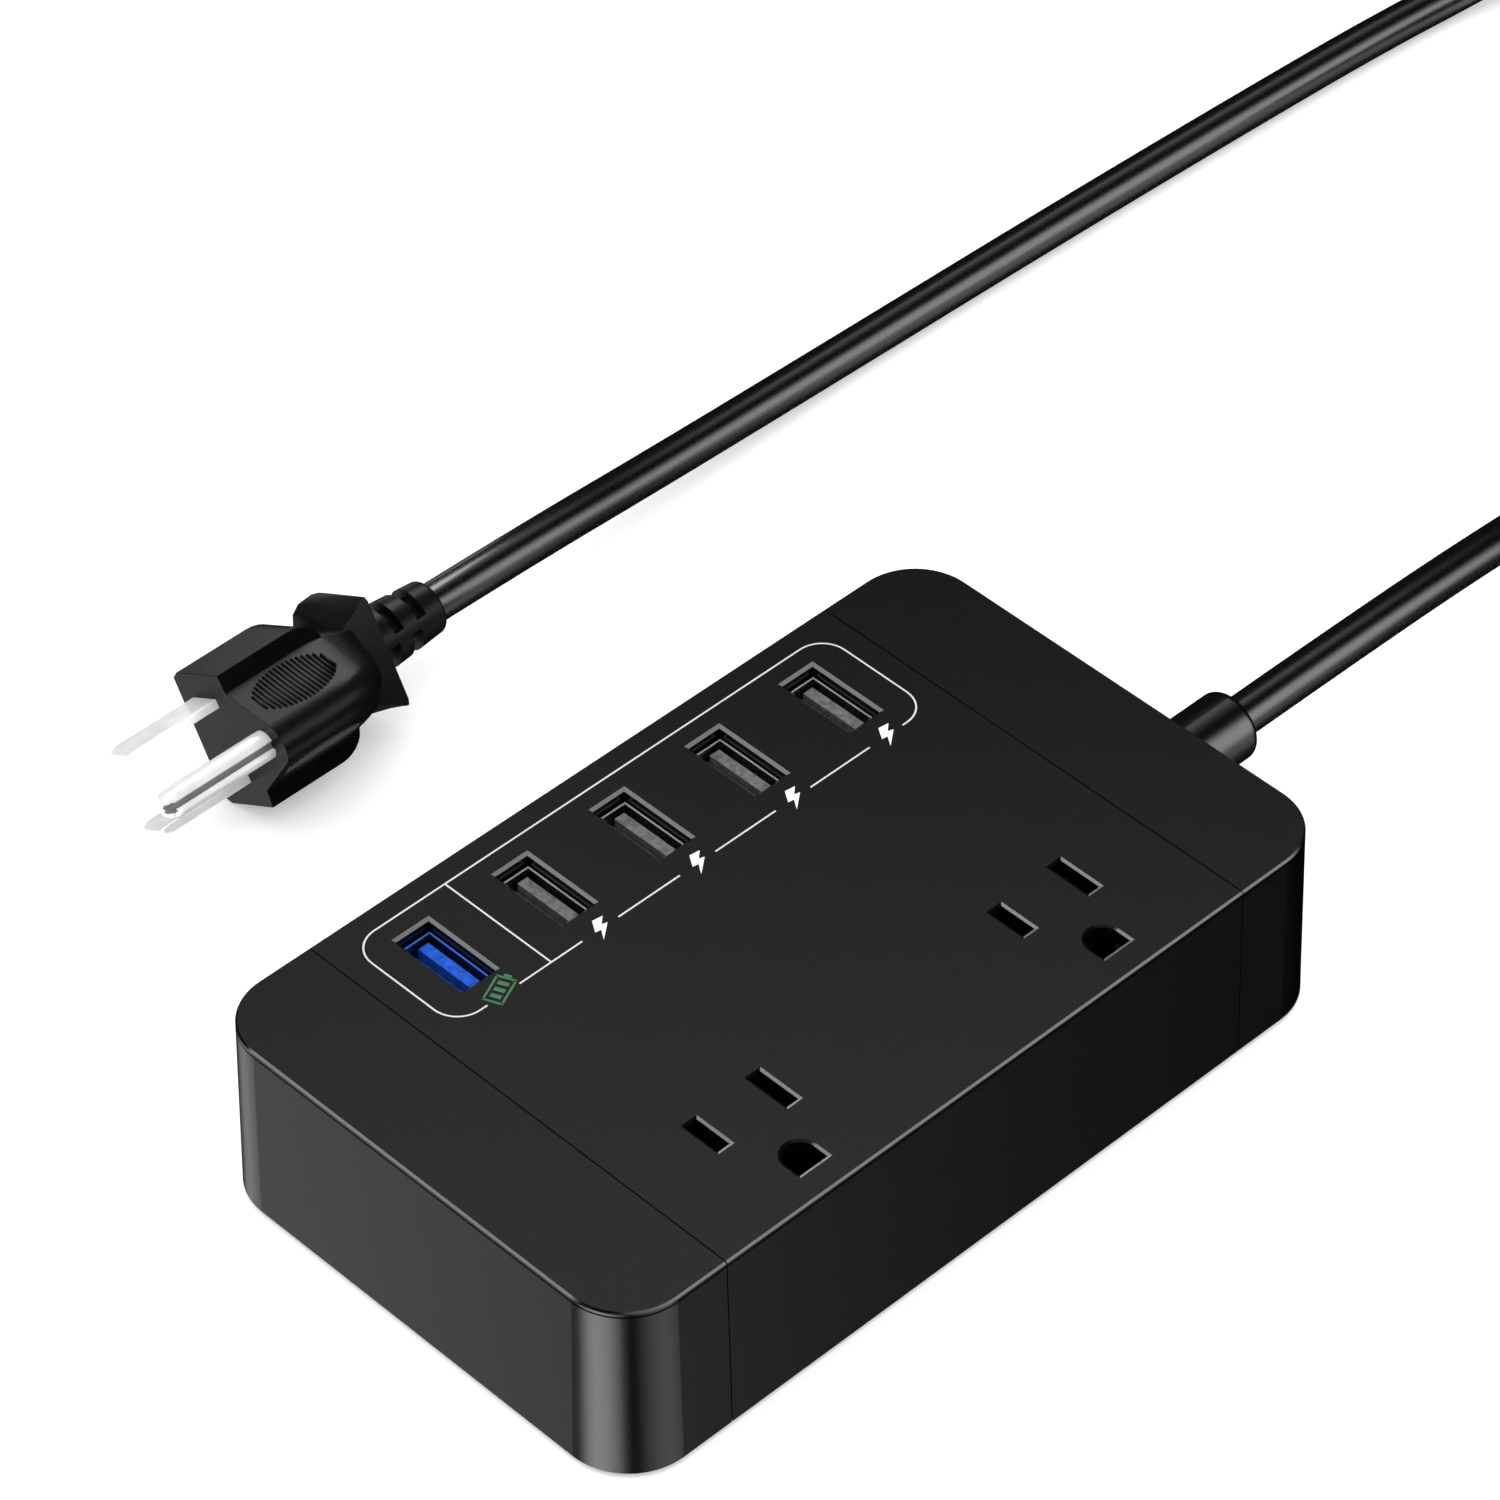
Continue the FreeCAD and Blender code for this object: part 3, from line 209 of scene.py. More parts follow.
NODE_FINISH = {
    "casing": CASING, "rubber": RUBBER, "screw_steel": SCREW, "insulator": INSULATOR, "brass": BRASS,
    "circuit_board": BOARD, "capacitor_sleeve": SLEEVE, "copper_coil": COPPER, "component": COMPONENT,
    "aluminium": ALUMINIUM, "ferrite": FERRITE, "winding_tape": TAPE, "fuse_glass": FUSE_GLASS,
    "wire_black": WIRE_BLACK, "wire_white": WIRE_WHITE, "wire_green": WIRE_GREEN, "wire_red": WIRE_RED,
    "port_steel": PORT_STEEL, "tongue_grey": TONGUE_GREY, "tongue_blue": TONGUE_BLUE, "cord": CORD,
    "tie": TIE, "plug": PLUG, "prong": PRONG,
}


# In millimetres: how far down the painted highlights reach on the bevels and the port mouths, and the area of
# the outlets' slots.
BEVEL_REACH, MOUTH_REACH = 1, 4
OUTLETS_ASIDE, OUTLETS_FRONT, OUTLETS_BACK = 48, -39, -12


def on_edge(place, normal):
    """Tells whether a face belongs to a bevel at the top of the casing, where highlights are painted."""
    return 0.3 < normal.z < 0.95 and place.z > TOP / MM - BEVEL_REACH


def by_outlets(place):
    """Tells whether a place is in the area of the outlets' slots."""
    return abs(place.x) < OUTLETS_ASIDE and OUTLETS_FRONT < place.y < OUTLETS_BACK


def paint_nodes():
    """Gives each CAD node the finish of its material slot, and paints highlights on the casing's top bevels,
    on the outlets' slot bevels facing +Y and on the USB shells' rims.
    """
    slots = {part["node"]: part["material_slot"] for part in frame["record"]["subparts"]}
    for name, item in NODES.items():
        item.data.materials.clear()
        item.data.materials.append(GLAND if name == "cord_gland" else NODE_FINISH[slots[name]])
    # Painted highlights: the casing's top bevels away from the outlets reflect more strongly than the rest.
    for name in ("casing_middle", "end_cap_left", "end_cap_right"):
        refinish(NODES[name], Matrix(), CASING_RIM_HIGHLIGHT,
                 lambda place, normal: on_edge(place, normal) and not by_outlets(place))
    # Painted highlight: light grey on the outlets' slot bevels that face +Y.
    refinish(NODES["casing_middle"], Matrix(), SLOT_BEVEL_HIGHLIGHT,
             lambda place, normal: on_edge(place, normal) and by_outlets(place) and normal.y > 0.35)
    # Painted highlights: lighter rims on the USB shells, the fast port's in blue.
    for number in range(1, 6):
        refinish(NODES[f"usb_shell_{number}"], Matrix(), PORT_RIM_BLUE_HIGHLIGHT if number == 1 else PORT_RIM_HIGHLIGHT,
                 lambda place, normal: normal.z > 0.9 and place.z > TOP / MM - MOUTH_REACH)


# ---------------------------------------------------------------- mesh helpers
def new_piece(name, build, material, matrix=None, smooth=35, bevel=None):
    """A mesh object in the object's own frame, from a function that fills a bmesh in millimetres."""
    mesh = bpy.data.meshes.new(name)
    work = bmesh.new()
    build(work)
    bmesh.ops.recalc_face_normals(work, faces=work.faces)
    bmesh.ops.scale(work, vec=(MM, MM, MM), verts=work.verts)
    if matrix:
        bmesh.ops.transform(work, matrix=matrix, verts=work.verts)
    work.to_mesh(mesh)
    work.free()
    for face in mesh.polygons:
        face.use_smooth = True
    mesh.set_sharp_from_angle(angle=math.radians(smooth))
    mesh.materials.append(material)
    item = bpy.data.objects.new(name, mesh)
    bpy.context.scene.collection.objects.link(item)
    if bevel:
        rounding = item.modifiers.new("edges", "BEVEL")
        rounding.width = bevel * MM
        rounding.segments = 3
        rounding.limit_method = "ANGLE"
        rounding.angle_limit = math.radians(30)
        rounding.harden_normals = True
    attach(item, "root")
    return item


def refinish(item, matrix, material, chosen):
    """Gives the chosen faces one more material.

    chosen gets a face's middle, in millimetres, and its normal, both in the matrix's own frame.
    """
    item.data.materials.append(material)
    slot = len(item.data.materials) - 1
    back = matrix.inverted()
    for face in item.data.polygons:
        if chosen(back @ face.center / MM, back.to_3x3() @ face.normal):
            face.material_index = slot


def loft(work, sections):
    """A closed solid through sections with the same number of points."""
    rings = [[work.verts.new(point) for point in section] for section in sections]
    count = len(rings[0])
    for ring, following in zip(rings, rings[1:]):
        for index in range(count):
            after = (index + 1) % count
            work.faces.new((ring[index], ring[after], following[after], following[index]))
    work.faces.new(rings[0])
    work.faces.new(list(reversed(rings[-1])))


def slab(work, outline, low, high):
    """An upright solid over a flat outline."""
    loft(work, [[(x, y, z) for x, y in outline] for z in (low, high)])


def arc(centre, radius, start, end, steps):
    """Points on an arc between two angles in degrees."""
    angles = [math.radians(start + (end - start) * step / steps) for step in range(steps + 1)]
    return [(centre[0] + radius * math.cos(angle), centre[1] + radius * math.sin(angle)) for angle in angles]


# ---------------------------------------------------------------- cord
CORD_RADIUS = 3.3
# The route of part.py, in metres.
CASE_RUN = [(0.091, -0.0042, 0.0145), (0.113, -0.0041, 0.0144), (0.146, -0.0026, 0.0118),
            (0.181, -0.0004, 0.0064), (0.216, 0.0022, 0.0035), (0.252, 0.0042, 0.0034),
            (0.281, 0.0045, 0.0034)]
PLUG_RUN = [(0.025, 0.102, 0.01185), (0.045, 0.1025, 0.0111), (0.078, 0.1057, 0.0062),
            (0.115, 0.1073, 0.0035), (0.168, 0.1065, 0.0034), (0.213, 0.1052, 0.0034),
            (0.244, 0.1039, 0.0034), (0.266, 0.1018, 0.0035), (0.286, 0.095, 0.0099),
            (0.3035, 0.0896, 0.01)]


def ease(value, stops):
    """Straight interpolation through (place, value) stops."""
    for (start, low), (end, high) in zip(stops, stops[1:]):
        if value <= end:
            return low + (high - low) * max(0.0, value - start) / (end - start)
    return stops[-1][1]


def coil_turns():
    """Control points of the coil: two turns on the floor, then out again on top of them.

    A turn keeps to its lane on the floor, and changes lane or climbs within a short stretch. On top it widens
    slowly. The turns rise a little over the strap.
    """
    low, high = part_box("cord_coil")
    centre = (low + high) / 2
    lane = 2 * CORD_RADIUS * MM
    side_gap, floor_gap = 0.4, 0.1
    outer = (high.x - low.x) / 2 - (CORD_RADIUS + side_gap) * MM
    bottom = (CORD_RADIUS + floor_gap) * MM
    tie_lift, tie_angle = 0.7 * MM, 20
    start, end, step = -90, 1500, 15
    reach = [(start, outer), (200, outer), (262, outer - lane), (500, outer - lane), (572, outer - 2 * lane),
             (890, outer - 2 * lane), (890 + 720, outer + 0.5 * MM)]
    level = [(start, bottom), (830, bottom), (890, bottom + lane), (end, bottom + lane)]
    swell = 1 / math.cos(math.radians(step / 2))
    points = []
    for angle in range(start, end + 1, step):
        turn = math.radians(angle)
        radius = ease(angle, reach) * swell
        off_tie = (angle % 360) - 180
        lift = tie_lift * math.exp(-(off_tie / tie_angle) ** 2)
        points.append((centre.x + radius * math.cos(turn), centre.y + radius * math.sin(turn),
                       ease(angle, level) + lift))
    return points


def cord():
    points = CASE_RUN + coil_turns() + PLUG_RUN[::-1]
    curve = bpy.data.curves.new("mains_cord", "CURVE")
    curve.dimensions = "3D"
    curve.resolution_u = 12
    curve.bevel_depth = CORD_RADIUS * MM
    curve.bevel_resolution = 8
    curve.use_fill_caps = True
    spline = curve.splines.new("NURBS")
    spline.points.add(len(points) - 1)
    for target, point in zip(spline.points, points):
        target.co = (*point, 1)
    spline.order_u = 3
    spline.use_endpoint_u = True
    curve.materials.append(CORD)
    item = bpy.data.objects.new("mains_cord", curve)
    bpy.context.scene.collection.objects.link(item)
    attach(item, "root")
    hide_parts("cord_case_run", "cord_coil", "cord_plug_run")
    return item


# ---------------------------------------------------------------- coil tie
def tie():
    """A hook-and-loop strap round the coil, with its free end folded back on top."""
    low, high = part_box("coil_tie")
    left, right, top = low.x / MM, high.x / MM, high.z / MM
    front, back = low.y / MM, high.y / MM
    sheet, corner = 0.8, 3.2

    def loop_points(inset):
        bend = corner - inset
        points = []
        for cx, cz, start in ((right, 0, -90), (right, top, 0), (left, top, 90), (left, 0, 180)):
            sx = -1 if cx == right else 1
            sz = 1 if cz == 0 else -1
            points += arc((cx + sx * corner, cz + sz * corner), bend, start, start + 90, 6)
        return points

    def build(work):
        outside, inside = loop_points(0), loop_points(sheet)
        rings = []
        for (ox, oz), (ix, iz) in zip(outside, inside):
            rings.append([(ox, front, oz), (ox, back, oz), (ix, back, iz), (ix, front, iz)])
        verts = [[work.verts.new(point) for point in ring] for ring in rings]
        for ring, following in zip(verts, verts[1:] + verts[:1]):
            for index in range(4):
                after = (index + 1) % 4
                work.faces.new((ring[index], ring[after], following[after], following[index]))
        root, shoulder, tip = left + 6, right - 5, right - 3.6
        margin, nose = 0.3, 2.2
        tab = [(root, front + margin), (shoulder, front + margin), (tip, front + nose),
               (tip, back - nose), (shoulder, back - margin), (root, back - margin)]
        slab(work, tab, top + 0.02, top + 0.85)

    strap = new_piece("coil_strap", build, TIE, bevel=0.25)
    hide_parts("coil_tie")
    return strap


# ---------------------------------------------------------------- plug
# In the plug's own frame, in millimetres. Along it, a runs from the face to the cord, u across the blades
# and v towards the ground pin.
FOOT, HEAD, SHOULDER, RIDGE, BELLY = 8.2, 3.6, 8.0, 18.4, -5.0
FALL_FROM, NARROW_FROM, BLOCK_END, END_RIDGE = 12, 14, 25, 7
WING, WING_TOP, WING_END = 11.2, 7.7, 19.0


def plug_core(work):
    """The block with its two side wings.

    The block's sides slant up to a round ridge, which falls off to the cord. The wings end before the block.
    """
    sections = []
    for a in (0, 4, 8, 12, 14, 15, 16, 17, 17.8, 18.4, 18.8, 19, 20, 21.5, 23, 24.2, 25):
        run = max(0.0, (a - FALL_FROM) / (BLOCK_END - FALL_FROM))
        fall = math.sqrt(max(0.0, 1 - run ** 2))
        narrow = 1 - 0.3 * max(0.0, (a - NARROW_FROM) / (BLOCK_END - NARROW_FROM)) ** 2
        ridge = END_RIDGE + (RIDGE - END_RIDGE) * fall
        shoulder = min(SHOULDER, ridge - 3)
        crown = min(3.0, (ridge - shoulder) / 2)
        foot, head = FOOT * narrow, HEAD * narrow
        past = max(0.0, a - NARROW_FROM) / (WING_END - NARROW_FROM)
        round_off = math.sqrt(max(0.0, 1 - past ** 2))
        wing = foot + 0.05 + (WING - FOOT - 0.05) * round_off
        half = [(wing - 0.9 * round_off, BELLY), (wing, BELLY + 1.4), (wing, min(WING_TOP, shoulder - 0.3)),
                (foot, shoulder)]
        outline = list(half)
        for step in range(9):
            angle = math.radians(15 + 150 * step / 8)
            outline.append((head * math.cos(angle), ridge - crown + crown * math.sin(angle)))
        outline += [(-u, v) for u, v in reversed(half)]
        sections.append([(a, u, v) for u, v in outline])
    loft(work, sections)


def plug_flange(work):
    """The finger grip behind the block: two lobes that sweep back."""
    low = [(29.0, 8.8), (28.4, 9.8), (27.0, 10.2), (24.2, 10.0), (22.6, 9.0), (21.6, 6.8)]
    high = [(29.2, 8.4), (28.9, 9.3), (28.4, 9.2), (26.0, 7.8), (23.4, 6.7), (21.6, 5.8)]
    sections = []
    for v, share in ((-4.2, 0), (-3.2, 0.02), (0, 0.25), (3, 0.6), (6.2, 0.95), (7.2, 1.0)):
        half = [(p[0] + (q[0] - p[0]) * share, p[1] + (q[1] - p[1]) * share) for p, q in zip(low, high)]
        outline = half + [(a, -u) for a, u in reversed(half)]
        sections.append([(a, u, v) for a, u in outline])
    loft(work, sections)


def plug_grips(work):
    """Transverse ribs in an oval on each slanted side of the block."""
    side_from, side_to = Vector((0, FOOT, SHOULDER)), Vector((0, HEAD * 0.966, RIDGE - 2.2))
    climb = (side_to - side_from).normalized()
    out = Vector((0, climb.z, -climb.y))
    along = Vector((1, 0, 0))
    ribs, pitch, reach, width, height = 18, 0.8, 7.4, 0.24, 0.24
    oval_place, oval_rise, oval_half = 9.2, 5.0, 4.2
    for mirror in (1, -1):
        for rib in range(ribs):
            shift = (rib - (ribs - 1) / 2) * pitch
            half = oval_half * math.sqrt(1 - (shift / reach) ** 2)
            centre = side_from + climb * oval_rise + along * (oval_place + shift)
            sections = []
            for place, size in ((-half - 0.2, 0.3), (-half, 1), (half, 1), (half + 0.2, 0.3)):
                section = []
                for angle in range(-30, 211, 30):
                    turn = math.radians(angle)
                    point = centre + climb * place + along * width * size * math.cos(turn)
                    point += out * (height * size * math.sin(turn))
                    section.append((point.x, mirror * point.y, point.z))
                sections.append(section)
            loft(work, sections)


SLEEVE_START, TAPER_FROM, SLOTS_FROM, SLEEVE_END, LIP = 20, 28.8, 29, 42.2, 0.8
SLEEVE_RADIUS, SLEEVE_NARROW, LIP_RADIUS, MOUTH_RADIUS = 5.6, 1.1, 4.5, 3.5


def slot_depth(a, turn):
    """How far the strain relief's slots cut in at a place along it and an angle round it."""
    depth, half_width = 1.5, 0.95
    upper, lower = 12 <= turn <= 168, 192 <= turn <= 348
    rows = (33.4, 38.2) if upper else (31.7, 36.5) if lower else ()
    return depth if any(abs(a - row) < half_width for row in rows) else 0.0


def plug_relief(work):
    """The tapered sleeve with slots where the cord leaves the plug. It is built straight, not bent with the
    cord.
    """
    around, fine_steps, lip_steps = 120, 132, 8
    fine_length, taper_length = 13.2, 13.4
    places = list(range(SLEEVE_START, SLOTS_FROM + 1))
    places += [SLOTS_FROM + fine_length * step / fine_steps for step in range(1, fine_steps + 1)]
    places += [SLEEVE_END + LIP * step / lip_steps for step in range(1, lip_steps + 1)]
    sections = []
    for a in places:
        taper = SLEEVE_RADIUS
        if a > SLEEVE_END:
            round_off = math.sqrt(max(0.0, 1 - ((a - SLEEVE_END) / LIP) ** 2))
            taper = MOUTH_RADIUS + (LIP_RADIUS - MOUTH_RADIUS) * round_off
        elif a >= TAPER_FROM:
            taper -= SLEEVE_NARROW * (a - TAPER_FROM) / taper_length
        section = []
        for step in range(around):
            turn = 360 * step / around
            radius = taper - slot_depth(a, turn)
            angle = math.radians(turn)
            section.append((a, radius * math.sin(angle), radius * math.cos(angle)))
        sections.append(section)
    loft(work, sections)


BLADE_ASIDE, BLADE_RISE = 6.35, 1.4
PIN_RISE, PIN_RADIUS, SEAM_DEPTH, SEAM_ANGLE = 13.3, 2.38, 0.6, 19


def prong_blade(work, side):
    """A flat blade with a tapered tip, coming out of the face."""
    middle_u, middle_v = side * BLADE_ASIDE, BLADE_RISE
    sections = []
    for a, thick, wide in ((-17.0, 0.25, 2.3), (-16.6, 0.45, 2.75), (-15.2, 0.76, 3.17), (2.0, 0.76, 3.17)):
        outline = ((-thick, -wide), (thick, -wide), (thick, wide), (-thick, wide))
        sections.append([(a, middle_u + u, middle_v + v) for u, v in outline])
    loft(work, sections)


def prong_pin(work):
    """A round ground pin rolled from sheet, with its seam along the side away from the blades."""
    sections = []
    tip = [(-20.5 + 2.4 * (1 - math.cos(math.radians(turn))), math.sin(math.radians(turn)))
           for turn in range(8, 91, 9)]
    for a, share in tip + [(-18.0, 1.0), (2.0, 1.0)]:
        section = []
        for step in range(72):
            turn = 360 * step / 72
            off_seam = min(turn, 360 - turn)
            radius = PIN_RADIUS * share - (SEAM_DEPTH * share if off_seam < SEAM_ANGLE else 0.0)
            angle = math.radians(turn)
            section.append((a, radius * math.sin(angle), PIN_RISE + radius * math.cos(angle)))
        sections.append(section)
    loft(work, sections)


def plug():
    """Returns the plug's pieces, which go with the cord."""
    matrix = plug_matrix()

    def body(work):
        plug_core(work)
        plug_flange(work)

    shell = new_piece("plug_shell", body, PLUG, matrix, bevel=0.45)
    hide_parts("plug_body")
    # Painted shade: the ledges along the wings get the dark, glossless copy of the vinyl.
    refinish(shell, matrix, PLUG_LEDGE_SHADE,
             lambda place, normal: (place.x < WING_END and place.z > 6 and abs(place.y) > FOOT - 0.8 and
                                    normal.z > 0.85))
    grips = new_piece("plug_grips", plug_grips, PLUG, matrix, smooth=60)
    relief = new_piece("plug_relief", plug_relief, PLUG, matrix, smooth=40)
    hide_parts("plug_strain_relief")
    pieces = [shell, grips, relief]
    blades = (("prong_line", "plug_blade_line", -1), ("prong_neutral", "plug_blade_neutral", 1))
    for name, node, side in blades:
        blade = new_piece(name, lambda work, side=side: prong_blade(work, side), PRONG, matrix,
                          bevel=0.18)
        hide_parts(node)
        pieces.append(blade)
    pin = new_piece("prong_ground", prong_pin, PRONG, matrix)
    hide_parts("plug_ground_pin")
    # Painted shade: the floor of the pin's seam is grey.
    refinish(pin, matrix, PRONG_SEAM_SHADE,
             lambda place, normal: place.x < 0 and abs(place.y) < 0.8 and 14.0 < place.z < 15.2)
    return pieces + [pin]


# ---------------------------------------------------------------- printed marks
# In millimetres: the ink's faces from the top, and the line's place in front of the ports' middles.
INK_LOW, INK_HIGH = -0.02, 0.03
LINE_DROP = 11.65


def stroke(work, points, width):
    """A printed line of even width along points."""
    path = [Vector(point) for point in points]
    sides = []
    for index, here in enumerate(path):
        before, after = path[max(index - 1, 0)], path[min(index + 1, len(path) - 1)]
        forward = (after - before).normalized()
        across = Vector((-forward.y, forward.x)) * width / 2
        sides.append((here + across, here - across))
    low, high = TOP / MM + INK_LOW, TOP / MM + INK_HIGH
    loft(work, [[(left.x, left.y, low), (right.x, right.y, low),
                 (right.x, right.y, high), (left.x, left.y, high)] for left, right in sides])


def port_frame(work):
    """A thin line round the USB row, broken under each port, and one between the first two ports."""
    first, last = PORTS[0] / MM, PORTS[-1] / MM
    left, right = first.x - 8.6, last.x + 8.7
    low, high = first.y - LINE_DROP, first.y + 10.6
    corner, width = 4.6, 0.27
    before_gap, after_gap = 3.6, 3.45
    around = [(last.x + 3.2, low)]
    around += arc((right - corner, low + corner), corner, -90, 0, 10)
    around += arc((right - corner, high - corner), corner, 0, 90, 10)
    around += arc((left + corner, high - corner), corner, 90, 180, 10)
    around += arc((left + corner, low + corner), corner, 180, 270, 10)
    around.append((first.x - 2.7, low))
    stroke(work, around, width)
    for here, there in zip(PORTS, PORTS[1:]):
        stroke(work, [(here.x / MM + after_gap, low), (there.x / MM - before_gap, low)], width)
    divider = (PORTS[0].x + PORTS[1].x) / 2 / MM
    stroke(work, [(divider, low + width / 2), (divider, high - width / 2)], width)


def bolts(work):
    """A lightning flash in the gap of the line under each port but the first."""
    flash = [(0.2, 2.0), (2.0, 1.75), (0.7, 0.6), (1.6, 0.3), (-1.2, -1.9), (-0.05, -0.15), (-1.05, 0.0)]
    level = TOP / MM
    for port in PORTS[1:]:
        outline = [(port.x / MM + x, port.y / MM - LINE_DROP + y) for x, y in flash]
        slab(work, outline, level + INK_LOW, level + INK_HIGH)


def battery_mark(work):
    """A small battery with three charge bars by the fast port, standing for its quicker charging."""
    centre = Vector((PORTS[0].x / MM + 0.6, PORTS[0].y / MM - 10.6))
    lean = math.radians(24)

    def put(points):
        turned = []
        for x, y in points:
            turned.append((centre.x + x * math.cos(lean) - y * math.sin(lean),
                           centre.y + x * math.sin(lean) + y * math.cos(lean)))
        return turned

    rim, bar_half, bar_width = 0.36, 0.85, 0.75
    half_x, half_y = 2.5, 1.45
    stroke(work, put([(-half_x, -half_y), (half_x, -half_y)]), rim)
    stroke(work, put([(-half_x, half_y), (half_x, half_y)]), rim)
    for x in (-half_x, half_x):
        stroke(work, put([(x, -half_y - rim / 2), (x, half_y + rim / 2)]), rim)
    stroke(work, put([(half_x + 0.5, -0.6), (half_x + 0.5, 0.6)]), 0.5)
    for x in (-1.35, 0, 1.35):
        stroke(work, put([(x, -bar_half), (x, bar_half)]), bar_width)


def printed_marks():
    new_piece("port_frame_mark", port_frame, MARK_WHITE)
    new_piece("bolt_marks", bolts, MARK_BRIGHT)
    new_piece("battery_mark", battery_mark, MARK_GREEN)


# ---------------------------------------------------------------- stage and light
def stage():
    mesh = bpy.data.meshes.new("floor")
    work = bmesh.new()
    bmesh.ops.create_grid(work, x_segments=1, y_segments=1, size=3.0)
    work.to_mesh(mesh)
    work.free()
    paper = finish("floor_paper", (0.9, 0.9, 0.9), 0.9, shift=0.01, patch=0.2, Specular_IOR_Level=0.0,
                   Emission_Color=(1, 1, 1, 1), Emission_Strength=0.3)
    mesh.materials.append(paper)
    item = bpy.data.objects.new("floor", mesh)
    item.visible_glossy = False
    bpy.context.scene.collection.objects.link(item)


AREA_POWER = 4    # an area light's watts for each square metre and unit of radiance
HORIZON = -0.22   # the upward part of a direction, under which gloss follows the compass
EVERYWHERE = ((-90, 1), (90, 1))


def panel(name, centre, normal, width, tall, radiance, gloss_only=True):
    """A soft rectangular light. The gloss-only ones are cards and boxes that shape the reflections."""
    data = bpy.data.lights.new(name, "AREA")
    data.shape = "RECTANGLE"
    data.size, data.size_y = width, tall
    data.energy = AREA_POWER * width * tall * radiance
    item = bpy.data.objects.new(name, data)
    bpy.context.scene.collection.objects.link(item)
    item.location = centre
    item.rotation_mode = "QUATERNION"
    item.rotation_quaternion = (-Vector(normal)).to_track_quat("Z", "Y")
    item.visible_camera = False
    item.visible_diffuse = not gloss_only
    item.visible_glossy = gloss_only


def softbox(name, bearing, height, distance, width, tall, radiance):
    """A light that faces the strip. Its bearing is clockwise from +Y, as seen from above."""
    flat = math.cos(math.radians(height))
    away = Vector((math.sin(math.radians(bearing)) * flat, math.cos(math.radians(bearing)) * flat,
                   math.sin(math.radians(height))))
    panel(name, away * distance, -away, width, tall, radiance)


def ramp(tree, source, first, last, stops):
    """An angle's value along straight lines between (degrees, value) stops, which run from first to last."""
    node = add_node(tree, "ShaderNodeFloatCurve")
    curve = node.mapping.curves[0]
    top = max(value for _, value in stops)
    points = [((place - first) / (last - first), value / top) for place, value in stops]
    curve.points[0].location, curve.points[1].location = points[0], points[-1]
    for point in points[1:-1]:
        curve.points.new(*point)
    for point in curve.points:
        point.handle_type = "VECTOR"
    node.mapping.update()
    share = add_node(tree, "ShaderNodeMapRange")
    for name, value in (("From Min", math.radians(first)), ("From Max", math.radians(last))):
        share.inputs[name].default_value = value
    tree.links.new(source, share.inputs["Value"])
    tree.links.new(share.outputs["Result"], node.inputs["Value"])
    scale = add_node(tree, "ShaderNodeMath", operation="MULTIPLY")
    scale.inputs[1].default_value = top
    tree.links.new(node.outputs["Value"], scale.inputs[0])
    return scale.outputs["Value"]


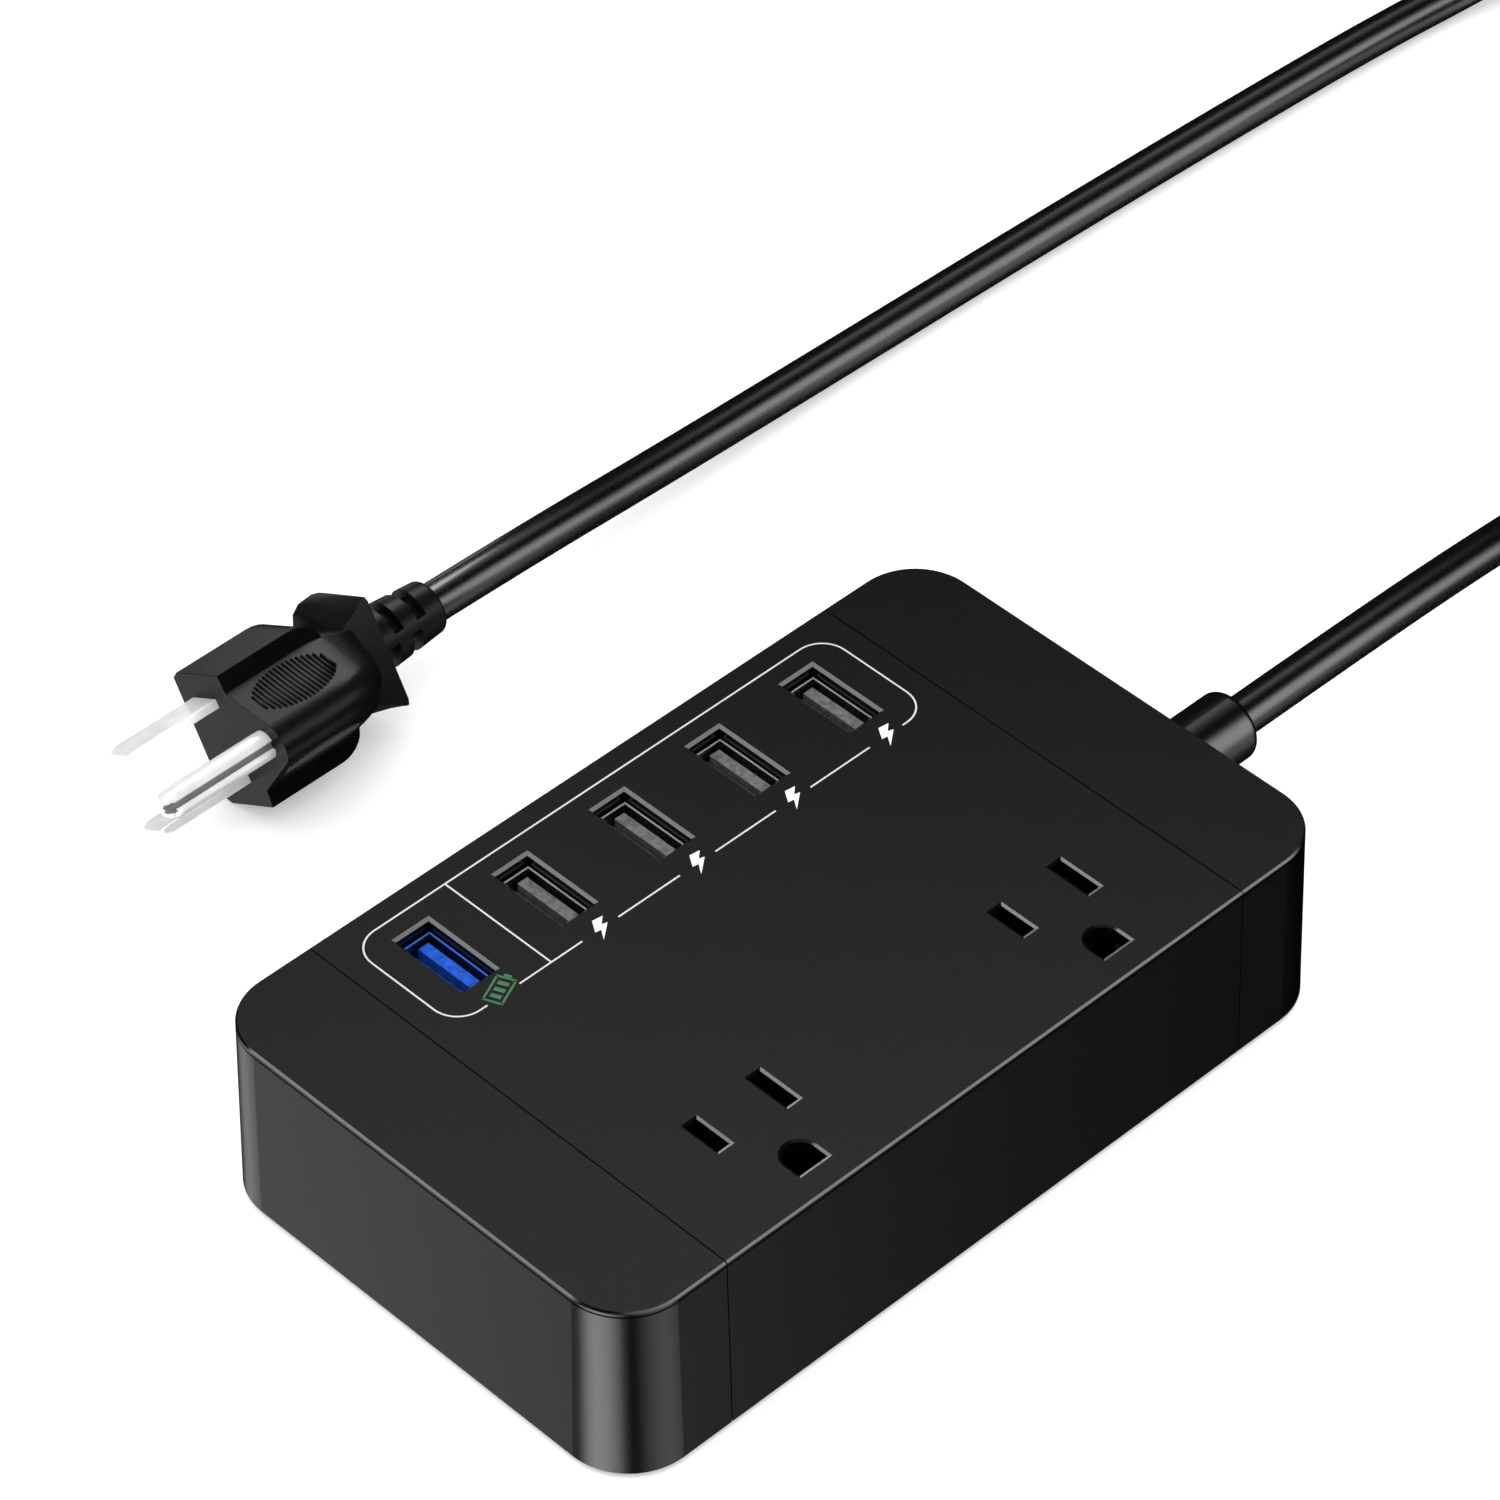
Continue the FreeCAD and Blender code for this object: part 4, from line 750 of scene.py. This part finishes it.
def studio():
    """A white room for sight and for diffuse light, with soft bands of its own for gloss.

    The bands aren't plain studio light. Their levels were set by comparing the reflections with the
    photograph's, so they suit its view, and other views can show them as pale patches on the top.

    Well below the horizon the gloss follows the compass direction, counted in degrees from +X towards +Y.
    Above that it is the sum of three bands over the height, one at the back, one overhead and one in front,
    each with a share that depends on how far the direction leans towards +Y.
    """
    world = bpy.data.worlds.new("world")
    world.use_nodes = True
    world.cycles.sampling_method = "NONE"
    tree = world.node_tree
    tree.nodes["Background"].inputs["Strength"].default_value = 1.25
    tree.nodes["Background"].inputs["Color"].default_value = (1, 1, 1, 1)
    place = add_node(tree, "ShaderNodeTexCoord")
    axes = add_node(tree, "ShaderNodeSeparateXYZ")
    tree.links.new(place.outputs["Generated"], axes.inputs["Vector"])
    compass = add_node(tree, "ShaderNodeMath", operation="ARCTAN2")
    tree.links.new(axes.outputs["Y"], compass.inputs[0])
    tree.links.new(axes.outputs["X"], compass.inputs[1])
    height = add_node(tree, "ShaderNodeMath", operation="ARCSINE")
    tree.links.new(axes.outputs["Z"], height.inputs[0])
    below = ramp(tree, compass.outputs["Value"], -180, 180, (
        (-180, 6.6), (-167, 6.4), (-156, 4.9), (-147, 3.1), (-139, 0.9), (-130, 0), (-120, 0.15),
        (-108, 0.95), (-96, 1.5), (-84, 1.75), (-70, 1.7), (-59, 1.25), (-51, 0.6), (-47.5, 0.1),
        (-45, 0), (65, 0), (80, 0.25), (90, 0.75), (104, 1.4), (118, 1.6), (128, 1.15), (132, 0.75),
        (137, 0.35), (143, 0.1), (150, 0.8), (158, 2.6), (167, 4.8), (175, 6.2), (180, 6.6)))
    above = ramp(tree, height.outputs["Value"], -90, 90, (
        (-90, 0), (41, 0.02), (43, 0.35), (44.5, 0.75), (46, 1.3), (48, 2.0), (51, 0.9), (58, 0.5), (66, 0.1),
        (90, 0)))
    overhead = ramp(tree, height.outputs["Value"], -90, 90, ((-90, 0), (64, 0), (76, 0.5), (90, 0.5)))
    front = ramp(tree, height.outputs["Value"], -90, 90, (
        (-90, 0), (-16, 0), (-4, 1.8), (8, 3.4), (30, 3.4), (42, 1.5), (50, 0), (90, 0)))
    lean = add_node(tree, "ShaderNodeMath", operation="ARCSINE")
    tree.links.new(axes.outputs["Y"], lean.inputs[0])
    total = None
    for band, share in ((above, ((-90, 0), (-6, 0), (20, 1), (90, 1))),
                        (overhead, EVERYWHERE),
                        (front, ((-90, 1), (-41, 1), (-24, 0), (90, 0)))):
        weight = ramp(tree, lean.outputs["Value"], -90, 90, share)
        part = add_node(tree, "ShaderNodeMath", operation="MULTIPLY_ADD")
        tree.links.new(band, part.inputs[0])
        tree.links.new(weight, part.inputs[1])
        part.inputs[2].default_value = 0
        if total:
            tree.links.new(total, part.inputs[2])
        total = part.outputs["Value"]
    low = add_node(tree, "ShaderNodeMath", operation="LESS_THAN")
    low.inputs[1].default_value = HORIZON
    tree.links.new(axes.outputs["Z"], low.inputs[0])
    mix = add_node(tree, "ShaderNodeMix", data_type="FLOAT")
    tree.links.new(low.outputs["Value"], mix.inputs["Factor"])
    tree.links.new(total, mix.inputs["A"])
    tree.links.new(below, mix.inputs["B"])
    gloss = add_node(tree, "ShaderNodeBackground")
    tree.links.new(mix.outputs["Result"], gloss.inputs["Strength"])
    rays = add_node(tree, "ShaderNodeLightPath")
    blend = add_node(tree, "ShaderNodeMixShader")
    tree.links.new(rays.outputs["Is Glossy Ray"], blend.inputs[0])
    tree.links.new(tree.nodes["Background"].outputs["Background"], blend.inputs[1])
    tree.links.new(gloss.outputs["Background"], blend.inputs[2])
    tree.links.new(blend.outputs["Shader"], tree.nodes["World Output"].inputs["Surface"])
    bpy.context.scene.world = world


def lights():
    bpy.context.scene.view_settings.view_transform = "Standard"
    studio()
    panel("key", (-0.3, -0.1, 1.6), (0.3, 0.1, -1.6), 1.2, 1.2, 0.8, gloss_only=False)
    softbox("back_high", -14, 57, 1.6, 0.45, 0.45, 9)
    softbox("left_strip", -54, 30, 1.6, 0.45, 0.5, 2.2)
    panel("plug_top", (0.046, 0.144, 0.074), (-0.51, -0.53, -0.68), 0.06, 0.045, 4)
    panel("plug_wing", (0.05, 0.185, 0.013), (-0.5, -0.86, 0.1), 0.07, 0.024, 0.6)


camera()
mains = cord()
strap = tie()
plug_pieces = plug()
paint_nodes()
printed_marks()
stage()
lights()
